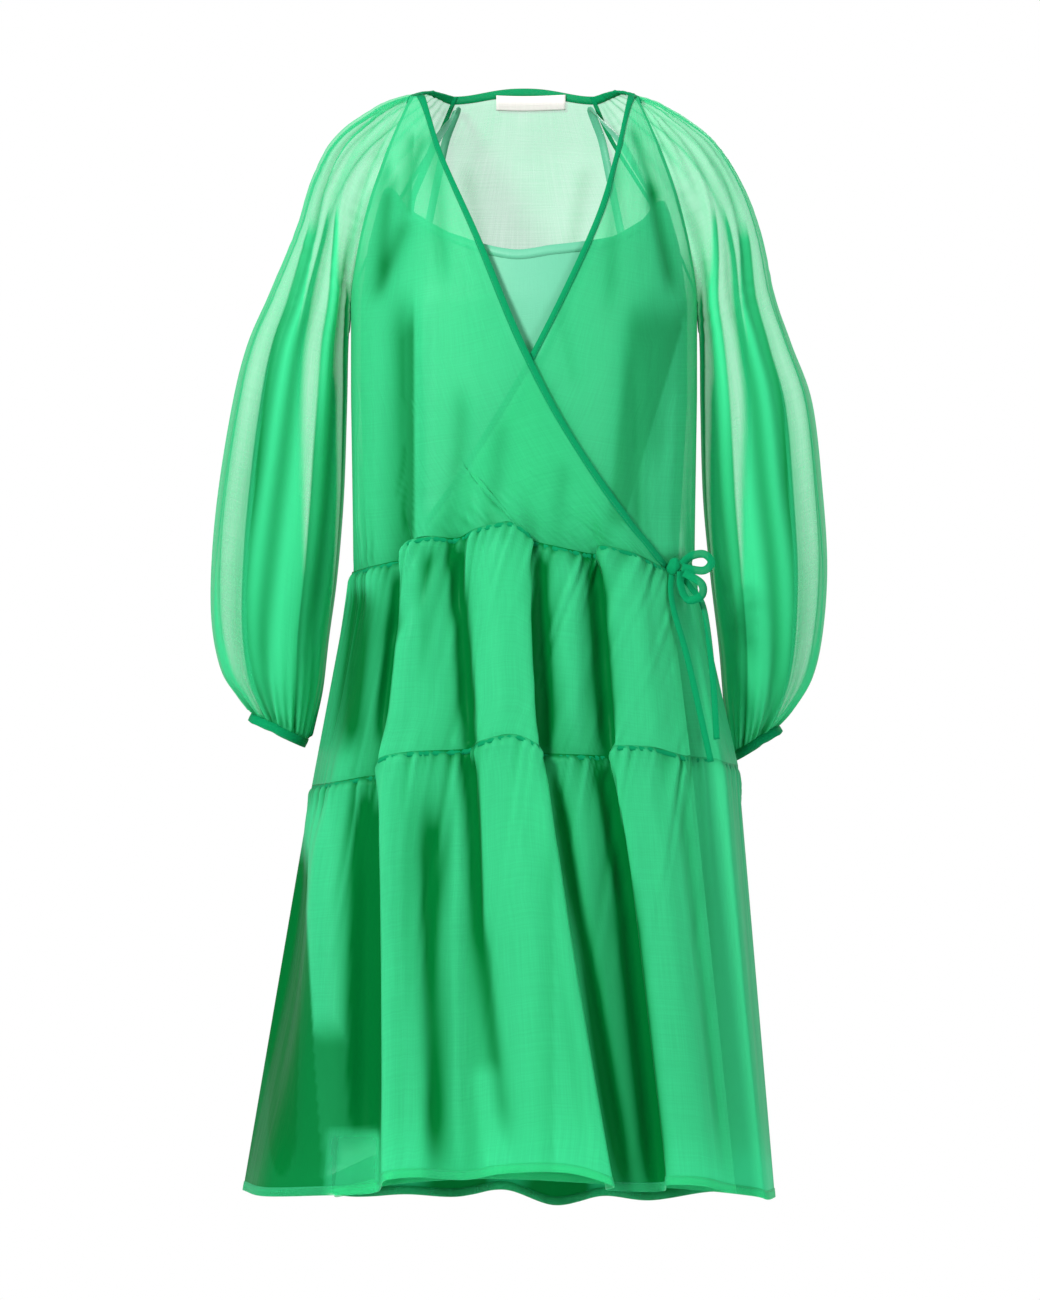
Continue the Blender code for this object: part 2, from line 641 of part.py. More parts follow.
for name, sheet, inward in (
    ("neck_binding_over", over_sheet, over_inward),
    ("neck_binding_under", under_sheet, under_inward),
):
    both = np.stack([inward[:, -1], inward[:, -2]])
    laid_strip(name, sheet[:, -1], sheet[:, -2], both, ORGANZA, NECK_BINDING_WALL)
neck_rows = [
    np.concatenate([right[:2], back[:2, 1:-1], left[:2, ::-1]], axis=1)
    for right, back, left in (
        (right_sheet, back_sheet, left_sheet),
        (right_inward, back_inward, left_inward),
    )
]
laid_strip("neck_binding_back", *neck_rows[0], neck_rows[1], ORGANZA, NECK_BINDING_WALL)


# ---------------------------------------------------------------------------------------------
# The slip: two panels, narrower than the dress all the way down, on thin straps
# ---------------------------------------------------------------------------------------------

SLIP_FORM = table(
    "level right_x left_x front_depth back_depth",
    (-1.100, -0.266, 0.236, 0.126, 0.168),
    (-0.690, -0.196, 0.198, 0.116, 0.142),
    (-0.480, -0.157, 0.153, 0.110, 0.107),
    (-0.300, -0.163, 0.163, 0.113, 0.106),
    (-0.205, -0.163, 0.163, 0.112, 0.106),
    (-0.150, -0.161, 0.161, 0.102, 0.106),
    (-0.090, -0.153, 0.153, 0.078, 0.099),
    (-0.060, -0.144, 0.144, 0.058, 0.092),
)
# The slip's top edge by its place across, from the right side seam at -1 to the left at 1.
SLIP_TOPS = table(
    "place front_z back_z",
    (-1.00, -0.212, -0.212),
    (-0.96, -0.150, -0.205),
    (-0.90, -0.095, -0.200),
    (-0.72, -0.118, -0.215),
    (-0.46, -0.142, -0.232),
    (-0.09, -0.159, -0.240),
    (0.16, -0.155, -0.240),
    (0.54, -0.146, -0.232),
    (0.74, -0.128, -0.215),
    (0.90, -0.108, -0.200),
    (0.96, -0.155, -0.205),
    (1.00, -0.212, -0.212),
)
SLIP_HEMS = table(
    "place front_z back_z",
    (-1.00, -1.080, -1.080),
    (-0.72, -1.070, -1.075),
    (-0.40, -1.030, -1.065),
    (0.40, -1.030, -1.065),
    (1.00, -1.068, -1.068),
)
SLIP_COLUMNS = 20
SLIP_ROWS = 6
SLIP_BINDING_WIDTH = 0.010


def slip_points(places, levels, side):
    """Points of the slip at shares of the way across and at levels."""
    right = np.interp(levels, SLIP_FORM["level"], SLIP_FORM["right_x"])
    left = np.interp(levels, SLIP_FORM["level"], SLIP_FORM["left_x"])
    depths = SLIP_FORM["front_depth"] if side < 0 else SLIP_FORM["back_depth"]
    depth = np.interp(levels, SLIP_FORM["level"], depths)
    x = (right + left) / 2 + (left - right) / 2 * places
    y = side * depth * (1 - np.abs(places) ** OVAL_POWER) ** (1 / OVAL_POWER)
    return np.stack([x, y, levels], axis=-1)


def slip_panel(name, side):
    """A slip panel. Its first two rows are the binding's width apart."""
    which = "front_z" if side < 0 else "back_z"
    turns = np.linspace(-np.pi / 2, np.pi / 2, SLIP_COLUMNS + 1)
    places = np.sin(turns)
    places[[0, -1]] = [-1.0, 1.0]
    top = np.interp(places, SLIP_TOPS["place"], SLIP_TOPS[which])
    hem = np.interp(places, SLIP_HEMS["place"], SLIP_HEMS[which])
    below = top - SLIP_BINDING_WIDTH
    levels = [top] + [below + (hem - below) * share for share in np.linspace(0, 1, SLIP_ROWS)]
    sheet = np.stack([slip_points(places, level, side) for level in levels])
    inward = level_inward(sheet, -side)
    seam_sides(sheet, inward, side)
    wall(name, sheet, inward, SLIP_SATIN, SLIP_WALL)
    return sheet, inward


slip_front_sheet, slip_front_inward = slip_panel("slip_front", -1)
slip_back_sheet, slip_back_inward = slip_panel("slip_back", 1)
NECK_FIRST, NECK_LAST = 3, SLIP_COLUMNS - 3
laid_strip(
    "slip_neck_binding",
    slip_front_sheet[0, NECK_FIRST:NECK_LAST + 1],
    slip_front_sheet[1, NECK_FIRST:NECK_LAST + 1],
    slip_front_inward[:2, NECK_FIRST:NECK_LAST + 1],
    SLIP_SATIN,
    NECK_BINDING_WALL,
)


# ---------------------------------------------------------------------------------------------
# Ribbons: the slip's straps and the tie, flat strips swept along a path
# ---------------------------------------------------------------------------------------------

STRAP_WIDTH = 0.008
STRAP_THICKNESS = 0.0012
RIBBON_WIDTH = 0.006
RIBBON_THICKNESS = 0.0012


def ribbon(name, path, flat, width, thickness, count, cloth):
    """A flat ribbon along a smooth path. flat is the way its face looks, at each path point."""
    places = np.linspace(0, len(path) - 1, count)
    line = curve_at(path, places)
    along = unit(np.gradient(line, axis=0))
    face = curve_at(np.broadcast_to(flat, np.shape(path)), places)
    face = unit(face - along * np.sum(face * along, axis=1, keepdims=True))
    across = np.cross(along, face)
    strip = np.stack([line - across * width / 2, line + across * width / 2])
    strip += face * thickness / 2
    wall(name, strip, np.stack([-face, -face]), cloth, thickness)


STRAP_CLEAR = 2 * SEAM_GAP + STRAP_THICKNESS / 2
FRONT_CLEAR = 0.0022
STRAP_LAP = 0.012
STRAP_COLUMNS = 25
# How far a strap's top stands off the straight way from the slip to the neck, and how it faces there.
OVER_SHOULDER = np.array([0.0, -0.012, 0.010])
SHOULDER_FACE = [0.0, -0.6, 0.8]
# The columns of the slip's front, the back neck and the slip's back where each strap is sewn.
RIGHT_STRAP = {"front": 5, "neck": 2, "back": 5}
LEFT_STRAP = {"front": SLIP_COLUMNS - 4, "neck": -3, "back": SLIP_COLUMNS - 5}


def evenly(points, count):
    """A run of points at even steps along straight stretches, with its corners softened."""
    steps = np.linalg.norm(np.diff(points[:, :3], axis=0), axis=1)
    far = np.concatenate([[0.0], np.cumsum(steps)])
    line = np.stack([np.interp(np.linspace(0, far[-1], count), far, axis) for axis in points.T], axis=-1)
    line[1:-1] = (line[:-2] + 2 * line[1:-1] + line[2:]) / 4
    return line


def strap(name, columns):
    """From the slip's front binding up to the back neck, where it is caught, and down to the back."""
    front, back, neck = columns["front"], columns["back"], columns["neck"]
    front_lap = unit(slip_front_sheet[1, front] - slip_front_sheet[0, front]) * STRAP_LAP
    back_lap = unit(slip_back_sheet[1, back] - slip_back_sheet[0, back]) * STRAP_LAP
    front_out = -slip_front_inward[0, front]
    at_edge = slip_front_sheet[0, front] + front_out * (NECK_BINDING_WALL + STRAP_CLEAR + FRONT_CLEAR)
    in_neck = ORGANZA_WALL + SEAM_GAP + STRAP_THICKNESS / 2
    caught = back_sheet[1, neck] + back_inward[1, neck] * in_neck
    below_neck = back_sheet[2, neck] + back_inward[2, neck] * in_neck
    back_out = -slip_back_inward[0, back]
    at_back = slip_back_sheet[0, back] + back_out * (STRAP_CLEAR + FRONT_CLEAR)
    over_shoulder = (at_edge + caught) / 2 + OVER_SHOULDER
    path = np.stack([
        at_edge + front_lap, at_edge - front_lap, over_shoulder, caught, below_neck, at_back,
        at_back + back_lap,
    ])
    outward = np.stack([
        front_out, front_out, SHOULDER_FACE, -back_inward[1, neck], -back_inward[2, neck],
        back_out, back_out,
    ])
    line = evenly(np.concatenate([path, outward], axis=1), STRAP_COLUMNS)
    ribbon(name, line[:, :3], line[:, 3:], STRAP_WIDTH, STRAP_THICKNESS, STRAP_COLUMNS, SLIP_SATIN)


strap("slip_strap_right", RIGHT_STRAP)
strap("slip_strap_left", LEFT_STRAP)


# ---------------------------------------------------------------------------------------------
# The tie at the wearer's left of the waist: a knot, two loops and two hanging ends
# ---------------------------------------------------------------------------------------------

KNOT_SIZE = np.array([0.0070, 0.0045, 0.0065])
KNOT_CLEAR = 6 * SEAM_GAP
KNOT_DROP = np.array([0.0, 0.0, -0.002])
KNOT_OUT = NECK_BINDING_WALL + KNOT_CLEAR + KNOT_SIZE[1]
KNOT_PLACE = over_sheet[-1, -1] - over_inward[-1, -1] * KNOT_OUT + KNOT_DROP
KNOT_ROWS = 6
KNOT_COLUMNS = 10


def rounded_knot(name):
    points = [(0.0, 0.0, 1.0)]
    for row in range(1, KNOT_ROWS):
        tilt = math.pi * row / KNOT_ROWS
        for column in range(KNOT_COLUMNS):
            turn = 2 * math.pi * column / KNOT_COLUMNS
            points.append((math.sin(tilt) * math.cos(turn), math.sin(tilt) * math.sin(turn), math.cos(tilt)))
    points.append((0.0, 0.0, -1.0))
    last = len(points) - 1
    faces = []
    for column in range(KNOT_COLUMNS):
        beside = (column + 1) % KNOT_COLUMNS
        faces.append((0, 1 + column, 1 + beside))
        for row in range(KNOT_ROWS - 2):
            upper, lower = 1 + row * KNOT_COLUMNS, 1 + (row + 1) * KNOT_COLUMNS
            faces.append((upper + column, lower + column, lower + beside, upper + beside))
        lower = 1 + (KNOT_ROWS - 2) * KNOT_COLUMNS
        faces.append((lower + column, last, lower + beside))
    add_solid(name, np.array(points) * KNOT_SIZE + KNOT_PLACE, faces, ORGANZA)


rounded_knot("tie_knot")
# Each stretch of ribbon as steps from the knot's middle, in millimetres.
TIE_STRETCHES = {
    "tie_loop_upper": (
        (8, 0, 2), (17, -2, 10), (30, -3, 12), (37, -5, 4), (29, -7, -4), (8, -7, -1),
    ),
    "tie_loop_lower": (
        (7, -2.4, -5), (7, -5, -20), (14, -9, -33), (27, -11, -29), (27, -12, -17), (10, -10, -6),
    ),
    "tie_tail_long": (
        (-1.5, 0.9, -6.9), (-3, -8, -22), (0, -13, -44), (14, -17, -94), (36, -24, -192),
    ),
    "tie_tail_short": (
        (4.9, 1.2, -5.2), (18, 4, -22), (30, 2, -42), (38, -5, -105), (42, -12, -170),
    ),
}
TIE_FACES = np.array([0.3, -1.0, 0.1])
TIE_COLUMNS = 17
for name, steps in TIE_STRETCHES.items():
    path = KNOT_PLACE + np.array(steps) * MM
    ribbon(name, path, TIE_FACES, RIBBON_WIDTH, RIBBON_THICKNESS, TIE_COLUMNS, ORGANZA)


# ---------------------------------------------------------------------------------------------
# The blank label inside the back neck
# ---------------------------------------------------------------------------------------------

LABEL_MIDDLE = 0.0070
LABEL_HALF_WIDTH = 0.0350
LABEL_TOP = 0.0080
LABEL_HEIGHT = 0.0150
LABEL_WALL = 0.0010
LABEL_COLUMNS = 8
LABEL_INSET = 0.0034
label_x = LABEL_MIDDLE + np.linspace(-LABEL_HALF_WIDTH, LABEL_HALF_WIDTH, LABEL_COLUMNS + 1)
label_rows = [
    form_point(form_turn(label_x, level), level + 0 * label_x, 1, inset=LABEL_INSET)
    for level in (LABEL_TOP, LABEL_TOP - LABEL_HEIGHT)
]
label_sheet = np.stack(label_rows)
wall("label_blank", label_sheet, sheet_inward(label_sheet, -1), LABEL_TAPE, LABEL_WALL)
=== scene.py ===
import math

import bpy
import numpy as np
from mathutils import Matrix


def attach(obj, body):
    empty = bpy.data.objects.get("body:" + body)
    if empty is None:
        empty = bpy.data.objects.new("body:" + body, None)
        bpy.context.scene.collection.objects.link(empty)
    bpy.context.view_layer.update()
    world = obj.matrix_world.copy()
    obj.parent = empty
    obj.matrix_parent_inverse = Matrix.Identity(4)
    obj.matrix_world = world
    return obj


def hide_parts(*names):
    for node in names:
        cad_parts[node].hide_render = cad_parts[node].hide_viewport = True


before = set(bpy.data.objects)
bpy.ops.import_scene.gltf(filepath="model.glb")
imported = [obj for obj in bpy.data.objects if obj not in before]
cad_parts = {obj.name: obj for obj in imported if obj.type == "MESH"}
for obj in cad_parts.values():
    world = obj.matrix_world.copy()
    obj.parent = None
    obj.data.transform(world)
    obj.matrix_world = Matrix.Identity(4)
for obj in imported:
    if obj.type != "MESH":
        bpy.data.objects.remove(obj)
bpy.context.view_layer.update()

# ---------------------------------------------------------------------------------------------
# Sheer silk organza: a plain, open weave of crisp emerald yarn. Light passes straight through
# between the yarns, and the yarns themselves glow and shine a little. Cloth is drawn with its
# own width and length as the pattern space, so warp and weft follow every piece.
# ---------------------------------------------------------------------------------------------


def add_node(tree, kind, inputs=None, **settings):
    """A new shader node. Each input takes a value of its own, or a link from another node's output."""
    made = tree.nodes.new("ShaderNode" + kind)
    for setting, value in settings.items():
        setattr(made, setting, value)
    for place, value in (inputs or {}).items():
        if isinstance(value, bpy.types.NodeSocket):
            tree.links.new(value, made.inputs[place])
        else:
            made.inputs[place].default_value = value
    return made


def uneven_yarns(tree, cut, across, along, detail):
    """Noise drawn out along the cloth's width or length, as its yarns are thick and thin."""
    stretch = add_node(tree, "VectorMath", {0: cut, 1: (across, along, 1.0)}, operation="MULTIPLY")
    noise = add_node(tree, "TexNoise", {"Vector": stretch.outputs[0], "Scale": 1.0, "Detail": detail})
    return noise.outputs[0]


def mixed(tree, amount, first, second):
    """The first colour where the amount is 0, and the second where it is 1."""
    colours = {0: amount, 6: (*first, 1.0), 7: (*second, 1.0)}
    return add_node(tree, "Mix", colours, data_type="RGBA").outputs[2]


def organza(name, cover, colour, hollow, through, roughness):
    """cover is the share of the cloth that is yarn, hollow the colour of its painted shade deep in a fold,
    and through the colour of the light that comes through its yarn.

    The cloth's own attribute called folds holds painted shade where it lies deep in a fold, and says where
    it lies double.
    """
    made = bpy.data.materials.new(name)
    made.use_nodes = True
    tree = made.node_tree
    tree.nodes.clear()
    cut = add_node(tree, "UVMap", uv_map="cut").outputs[0]

    def streaks(across, along, detail, low, high):
        """Uneven yarns, as numbers from low to high."""
        noise = uneven_yarns(tree, cut, across, along, detail)
        levels = {"Value": noise, "From Min": 0.3, "From Max": 0.7, "To Min": low, "To Max": high}
        return add_node(tree, "MapRange", levels).outputs[0]

    # The attribute's red is painted shade: it mixes the yarn toward the dark hollow colour and adds to its
    # cover. Its green says where the cloth lies double.
    folds = add_node(tree, "Attribute", attribute_name="folds")
    shade_and_doubling = add_node(tree, "SeparateColor", {0: folds.outputs["Color"]})
    deep = shade_and_doubling.outputs["Red"]
    warp = streaks(800.0, 16.0, 3.0, -0.035, 0.035)
    weft = streaks(14.0, 860.0, 3.0, -0.032, 0.032)
    cloud = streaks(14.0, 9.0, 3.0, -0.03, 0.03)
    shade_cover = add_node(tree, "Math", {0: deep, 1: 0.42}, operation="MULTIPLY").outputs[0]
    doubled = add_node(tree, "Math", {0: shade_and_doubling.outputs["Green"], 1: 0.34}, operation="MULTIPLY").outputs[0]
    total = cover
    for part in (warp, weft, cloud, shade_cover, doubled):
        total = add_node(tree, "Math", {0: part, 1: total}, operation="ADD").outputs[0]
    edge_on = add_node(tree, "LayerWeight", {"Blend": 0.38}).outputs["Facing"]
    covered = add_node(
        tree, "Math", {0: edge_on, 1: 0.50, 2: total}, operation="MULTIPLY_ADD", use_clamp=True
    ).outputs[0]
    slubs = streaks(60.0, 14.0, 4.0, 0.0, 1.0)
    bump = add_node(tree, "Bump", {"Strength": 0.35, "Distance": 0.0012, "Height": slubs}).outputs[0]
    yarn = add_node(tree, "BsdfPrincipled", {
        "Base Color": mixed(tree, deep, colour, hollow),
        "Roughness": roughness,
        "IOR": 1.16,
        "Specular Tint": (0.25, 1.0, 0.60, 1.0),
        "Sheen Weight": 0.12,
        "Sheen Roughness": 0.4,
        "Sheen Tint": (0.30, 1.0, 0.65, 1.0),
        "Normal": bump,
    })
    glow = add_node(tree, "BsdfTranslucent", {"Color": mixed(tree, deep, through, hollow), "Normal": bump})
    lit = add_node(tree, "MixShader", {0: 0.33, 1: yarn.outputs[0], 2: glow.outputs[0]})
    clear = add_node(tree, "BsdfTransparent", {"Color": (0.965, 1.0, 0.985, 1.0)})
    cloth = add_node(tree, "MixShader", {0: covered, 1: clear.outputs[0], 2: lit.outputs[0]})
    add_node(tree, "OutputMaterial", {"Surface": cloth.outputs[0]})
    return made


# hollow is each cloth's painted shade colour, which its colour is mixed toward deep in folds.
ORGANZA = organza(
    "silk_organza", cover=0.37, colour=(0.056, 0.66, 0.29), hollow=(0.0, 0.17, 0.030),
    through=(0.02, 0.85, 0.39), roughness=0.36,
)
ORGANZA_FOLDED = organza(
    "silk_organza_folded", cover=0.84, colour=(0.004, 0.34, 0.13), hollow=(0.0, 0.20, 0.05),
    through=(0.005, 0.42, 0.17), roughness=0.58,
)

# ---------------------------------------------------------------------------------------------
# The front panels of the waist tier and the hem tier on the wearer's right, which lap over.
# Each is a straight length of organza, gathered onto the seam above and hanging in loose folds
# that run on from the one tier into the next.
# ---------------------------------------------------------------------------------------------

MM = 0.001
# The two sides of the dress, by which way they face along Y.
FRONT = -1
BACK = 1
# The power of the dress's oval cross-sections. At 2 they would be ellipses.
OVAL = 2.3
# About how far apart the points of a sheet of cloth are.
CLOTH_PITCH = 0.0023
# How near to a side seam the cloth's waves die out.
SEAM_EASE = 0.012


def table(columns, *rows):
    """Columns of values by their names, from rows."""
    return dict(zip(columns.split(), (np.array(values) for values in zip(*rows))))


def soft(value):
    """Rises from 0 to 1 as the value does, softly at both ends."""
    value = np.clip(value, 0.0, 1.0)
    return value * value * (3.0 - 2.0 * value)


def curve_at(points, places):
    """A smooth curve through the points, read at places counted in points from the first."""
    points, places = np.asarray(points, float), np.asarray(places, float)
    start = np.clip(np.floor(places).astype(int), 0, len(points) - 2)
    along = (places - start).reshape((-1,) + (1,) * (points.ndim - 1))
    padded = np.concatenate([2 * points[:1] - points[1:2], points, 2 * points[-1:] - points[-2:-1]])
    before, here, after, beyond = (padded[start + k] for k in range(4))
    return 0.5 * (
        2 * here
        + (after - before) * along
        + (2 * before - 5 * here + 4 * after - beyond) * along**2
        + (3 * here - before - 3 * after + beyond) * along**3
    )


def unit(vectors):
    return vectors / np.maximum(np.linalg.norm(vectors, axis=-1, keepdims=True), 1e-12)


def lengths_along(grid, axis):
    """How far each point is along its row (axis 1) or its column (axis 0), in metres."""
    steps = np.linalg.norm(np.diff(grid, axis=axis), axis=-1)
    first = np.zeros_like(np.take(steps, [0], axis=axis))
    return np.concatenate([first, np.cumsum(steps, axis=axis)], axis=axis)


def faces_out(grid, turn):
    """The way out of the cloth at each point. turn is 1 or -1, by which way its columns run."""
    return unit(np.cross(np.gradient(grid, axis=1), np.gradient(grid, axis=0)) * turn)


# The seam lines round the skirt: the ends of each oval, its depths, and its levels on the way round.
RINGS = table(
    "ring right_x left_x front_depth back_depth right_z front_z edge_z left_z back_z",
    ("waist", -0.172, 0.168, 0.138, 0.125, -0.475, -0.446, -0.470, -0.466, -0.490),
    ("seam", -0.212, 0.214, 0.155, 0.165, -0.688, -0.654, -0.656, -0.668, -0.705),
    ("hem", -0.281, 0.251, 0.170, 0.200, -1.093, -1.080, -1.084, -1.100, -1.126),
)
WAIST, SEAM, HEM = range(3)
# A fold whose x runs back under the one before it laps over it. In millimetres.
OVER_FOLDS = table(
    "fold x_waist x_seam x_hem out_waist out_seam out_hem rise",
    ("side seam", -172, -212, -281, 0, 0, 0, 0),
    ("side face", -152, -190, -257, 1, 4, 8, 1),
    ("side hollow", -130, -160, -204, -2, -5, -8, 2),
    ("first tuck", -114, -137, -147, -9, -13, -22, 3),
    ("first fold", -117, -142, -135, 9, 13, 18, 18),
    ("first face", -92, -112, -103, 8, 10, 12, 20),
    ("first hollow", -66, -58, -58, -5, -9, -8, 14),
    ("second rise", -46, -41, -18, 5, 11, 8, 20),
    ("second face", -15, -10, 42, 8, 14, 17, 21),
    ("second fold", 4, 14, 86, 7, 13, 20, 9),
    ("second tuck", 9, 12, 80, -6, -12, -18, 2),
    ("recess", 36, 45, 106, -2, -7, -22, 0),
    ("third tuck", 70, 86, 134, -9, -12, -20, 0),
    ("third fold", 74, 88, 137, 3, 11, 16, 9),
    ("third face", 106, 125, 172, 6, 11, 18, 8),
    ("bound edge", 134, 155, 200, 5, 8, 12, 0),
    ("free edge", 141, 163, 208, 4, 7, 11, 0),
)


def ring_points(folds, ring, side):
    """The fold points of one ring: on its oval, moved out by each fold's own amount."""
    suffix = str(RINGS["ring"][ring])
    x, out = folds["x_" + suffix] * MM, folds["out_" + suffix] * MM
    right, left = RINGS["right_x"][ring], RINGS["left_x"][ring]
    depth = RINGS["front_depth" if side < 0 else "back_depth"][ring]
    share = np.clip((x - (right + left) / 2) / ((left - right) / 2), -1.0, 1.0)
    y = side * (depth * (1 - np.abs(share) ** OVAL) ** (1 / OVAL) + out)
    y[np.abs(share) >= 1.0] = 0.0
    if side < 0:
        levels = [RINGS[name][ring] for name in ("right_z", "front_z", "edge_z", "left_z")]
        z = np.interp(x, [right, 0.0, 0.8 * left, left], levels)
    else:
        ends = np.where(share < 0, RINGS["right_z"][ring], RINGS["left_z"][ring])
        z = RINGS["back_z"][ring] + (ends - RINGS["back_z"][ring]) * share**2
    return np.stack([x, y, z + folds["rise"] * MM], axis=-1)


def fold_places(folds, side, pitch):
    """Places of a panel's columns, about one pitch apart at the middle seam."""
    steps = np.linalg.norm(np.diff(ring_points(folds, SEAM, side), axis=0), axis=1)
    counts = np.maximum(4, np.round(steps / pitch)).astype(int)
    runs = [number + np.arange(count) / count for number, count in enumerate(counts)]
    return np.concatenate(runs + [[float(len(counts))]])


# The waves that gathering leaves: their spacing, height and how far down they fade, in millimetres.
GATHERS = table(
    "spacing height fade start",
    (6.3, 0.55, 9, 0.3),
    (10.7, 1.5, 20, 1.9),
    (17.0, 1.5, 38, 4.1),
    (31.0, 1.7, 90, 2.6),
)


def gathered(along, below, strength, seed):
    """Uneven waves along a gathered edge, at distances below it, in metres."""
    total = np.zeros(np.broadcast(along, below).shape)
    for spacing, height, fade, start in zip(*GATHERS.values()):
        drift = 1.3 * np.sin(along * 61.0 + start + seed) + 0.9 * np.sin(along * 143.0 + 2 * start + seed)
        wave = np.sin(2 * np.pi * along / (spacing * MM) + drift * 2.2 + seed)
        uneven = 0.65 + 0.5 * np.sin(along * 87.0 + 3.1 * start + seed)
        total += height * MM * uneven * wave * np.exp(-below / (fade * MM))
    return strength * total * soft(below / 0.005)


# Long soft troughs down the hanging cloth: their place across it, where down it they start and end, and
# how they lean, as shares of the panel, and their half width and depth in millimetres.
TROUGHS = table(
    "place top bottom lean width depth",
    (0.07, 0.10, 0.90, 0.020, 13, 2.2),
    (0.16, 0.00, 0.55, -0.012, 9, -1.6),
    (0.25, 0.25, 1.10, 0.030, 16, 2.0),
    (0.37, 0.05, 0.75, 0.015, 11, 2.4),
    (0.44, 0.35, 1.10, -0.020, 14, -1.9),
    (0.56, 0.00, 0.60, 0.010, 10, 1.8),
    (0.63, 0.30, 1.10, 0.026, 17, 2.6),
    (0.74, 0.05, 0.80, -0.016, 12, -2.0),
    (0.83, 0.20, 1.10, 0.012, 13, 2.1),
    (0.93, 0.00, 0.70, 0.010, 10, 1.5),
)


def troughs(across, down, width, strength):
    """Soft troughs on a panel, from shares of the way across and down it."""
    total = np.zeros(np.broadcast(across, down).shape)
    for place, top, bottom, lean, half, depth in zip(*TROUGHS.values()):
        middle = place + lean * (down - top) / 0.5
        near = (across - middle) * width / (half * MM)
        fades = soft((down - top + 0.12) / 0.24) * soft((bottom - down) / 0.35)
        total -= depth * MM * np.exp(-near**2) * fades
    return strength * total


def quads_between(index):
    """The corners of every gap between the rows and columns of an index."""
    return np.stack([index[:-1, :-1], index[1:, :-1], index[1:, 1:], index[:-1, 1:]], axis=-1)


def in_scene(mesh, material):
    """The mesh as an object of its own, at the origin."""
    mesh.materials.append(material)
    made = bpy.data.objects.new(mesh.name, mesh)
    bpy.context.scene.collection.objects.link(made)
    return made


def lay_cloth(name, grid, material, painted_shade=0.0, doubled=0.0, closed_from=None):
    """A sheet of cloth from rows of points, with its own width and length as the map called cut.

    The cloth's painted shade, from 0 to 1, darkens each point as if deep in a fold, and doubled says where
    the cloth is gathered so close that it lies double. From the row closed_from on, the sheet is a tube.
    """
    rows, columns = grid.shape[:2]
    corners = np.arange(rows * columns).reshape(rows, columns)
    joined = corners.copy()
    if closed_from is not None:
        joined[closed_from:, -1] = joined[closed_from:, 0]
    used, quads = np.unique(quads_between(joined), return_inverse=True)
    mesh = bpy.data.meshes.new(name)
    mesh.from_pydata(grid.reshape(-1, 3)[used].tolist(), [], quads.reshape(-1, 4).tolist())
    across = lengths_along(grid, 1)
    across = across * (across[:, -1:].mean() / across[:, -1:])
    cut = np.stack([across, -lengths_along(grid, 0)], axis=-1).reshape(-1, 2)
    layer = mesh.uv_layers.new(name="cut")
    layer.data.foreach_set("uv", cut[quads_between(corners).ravel()].ravel())
    # The attribute called folds carries the painted shade and where the cloth lies double.
    shade_and_doubling = np.stack(np.broadcast_arrays(painted_shade, doubled, 0.0, np.ones((rows, columns))), axis=-1)
    folds = mesh.color_attributes.new("folds", "FLOAT_COLOR", "POINT")
    folds.data.foreach_set("color", shade_and_doubling.reshape(-1, 4)[used].ravel())
    mesh.shade_smooth()
    return in_scene(mesh, material)


# The main creases of the right front's skirt, from one place across and level to another in metres:
# how far they sink (or stand, where above 0) and their half width, in millimetres.
FRONT_CREASES = table(
    "from_x from_z to_x to_z width height",
    (-0.1590, -0.490, -0.1760, -0.655, 14, -5.0),
    (-0.1220, -0.463, -0.1410, -0.640, 6, -4.5),
    (-0.1060, -0.463, -0.1220, -0.640, 9, 3.5),
    (-0.0870, -0.448, -0.1240, -0.543, 9, -3.5),
    (-0.0690, -0.433, -0.0540, -0.640, 7, -6.0),
    (-0.0250, -0.443, -0.0200, -0.640, 15, 3.5),
    (0.0160, -0.448, 0.0220, -0.645, 7, -5.0),
    (0.0440, -0.453, 0.0510, -0.645, 9, 2.5),
    (0.0690, -0.451, 0.0840, -0.655, 8, -6.5),
    (0.1080, -0.473, 0.1280, -0.645, 16, 4.0),
    (-0.2060, -0.713, -0.1950, -0.960, 14, 5.0),
    (-0.2340, -0.740, -0.2440, -1.090, 20, -8.0),
    (-0.1560, -0.693, -0.1580, -1.033, 14, -5.5),
    (-0.1300, -0.663, -0.1270, -1.073, 8, 4.0),
    (-0.0920, -0.703, -0.0860, -1.063, 12, -6.0),
    (-0.0660, -0.650, -0.0620, -1.053, 6, 3.5),
    (-0.0520, -0.640, -0.0460, -0.833, 6, -6.0),
    (-0.0450, -0.820, -0.0190, -1.033, 10, -4.0),
    (-0.0390, -0.960, -0.0240, -1.073, 12, 3.5),
    (-0.0200, -0.663, 0.0360, -1.053, 18, 3.5),
    (0.0130, -0.653, 0.0760, -1.073, 8, 2.5),
    (0.0270, -0.663, 0.1000, -1.078, 8, -4.5),
    (0.0760, -0.663, 0.1020, -0.803, 8, -6.5),
    (0.1020, -0.790, 0.1340, -1.083, 11, -7.5),
    (0.1260, -0.673, 0.1720, -1.073, 17, 4.5),
    (0.1540, -0.690, 0.1960, -1.060, 9, -2.5),
)


def sunk_along(grid, folds):
    """How far soft creases along straight lines raise (or sink) each point, in metres."""
    total = np.zeros(grid.shape[:2])
    for x0, z0, x1, z1, width, height in zip(*folds.values()):
        run = np.array([x1 - x0, z1 - z0])
        rel = grid[..., [0, 2]] - (x0, z0)
        along = rel @ run / (run @ run)
        away = (rel[..., 0] * run[1] - rel[..., 1] * run[0]) / np.linalg.norm(run)
        ends = soft((along + 0.10) / 0.25) * soft((1.10 - along) / 0.30)
        total += height * MM * np.exp(-((away / (width * MM)) ** 2)) * ends
    return total


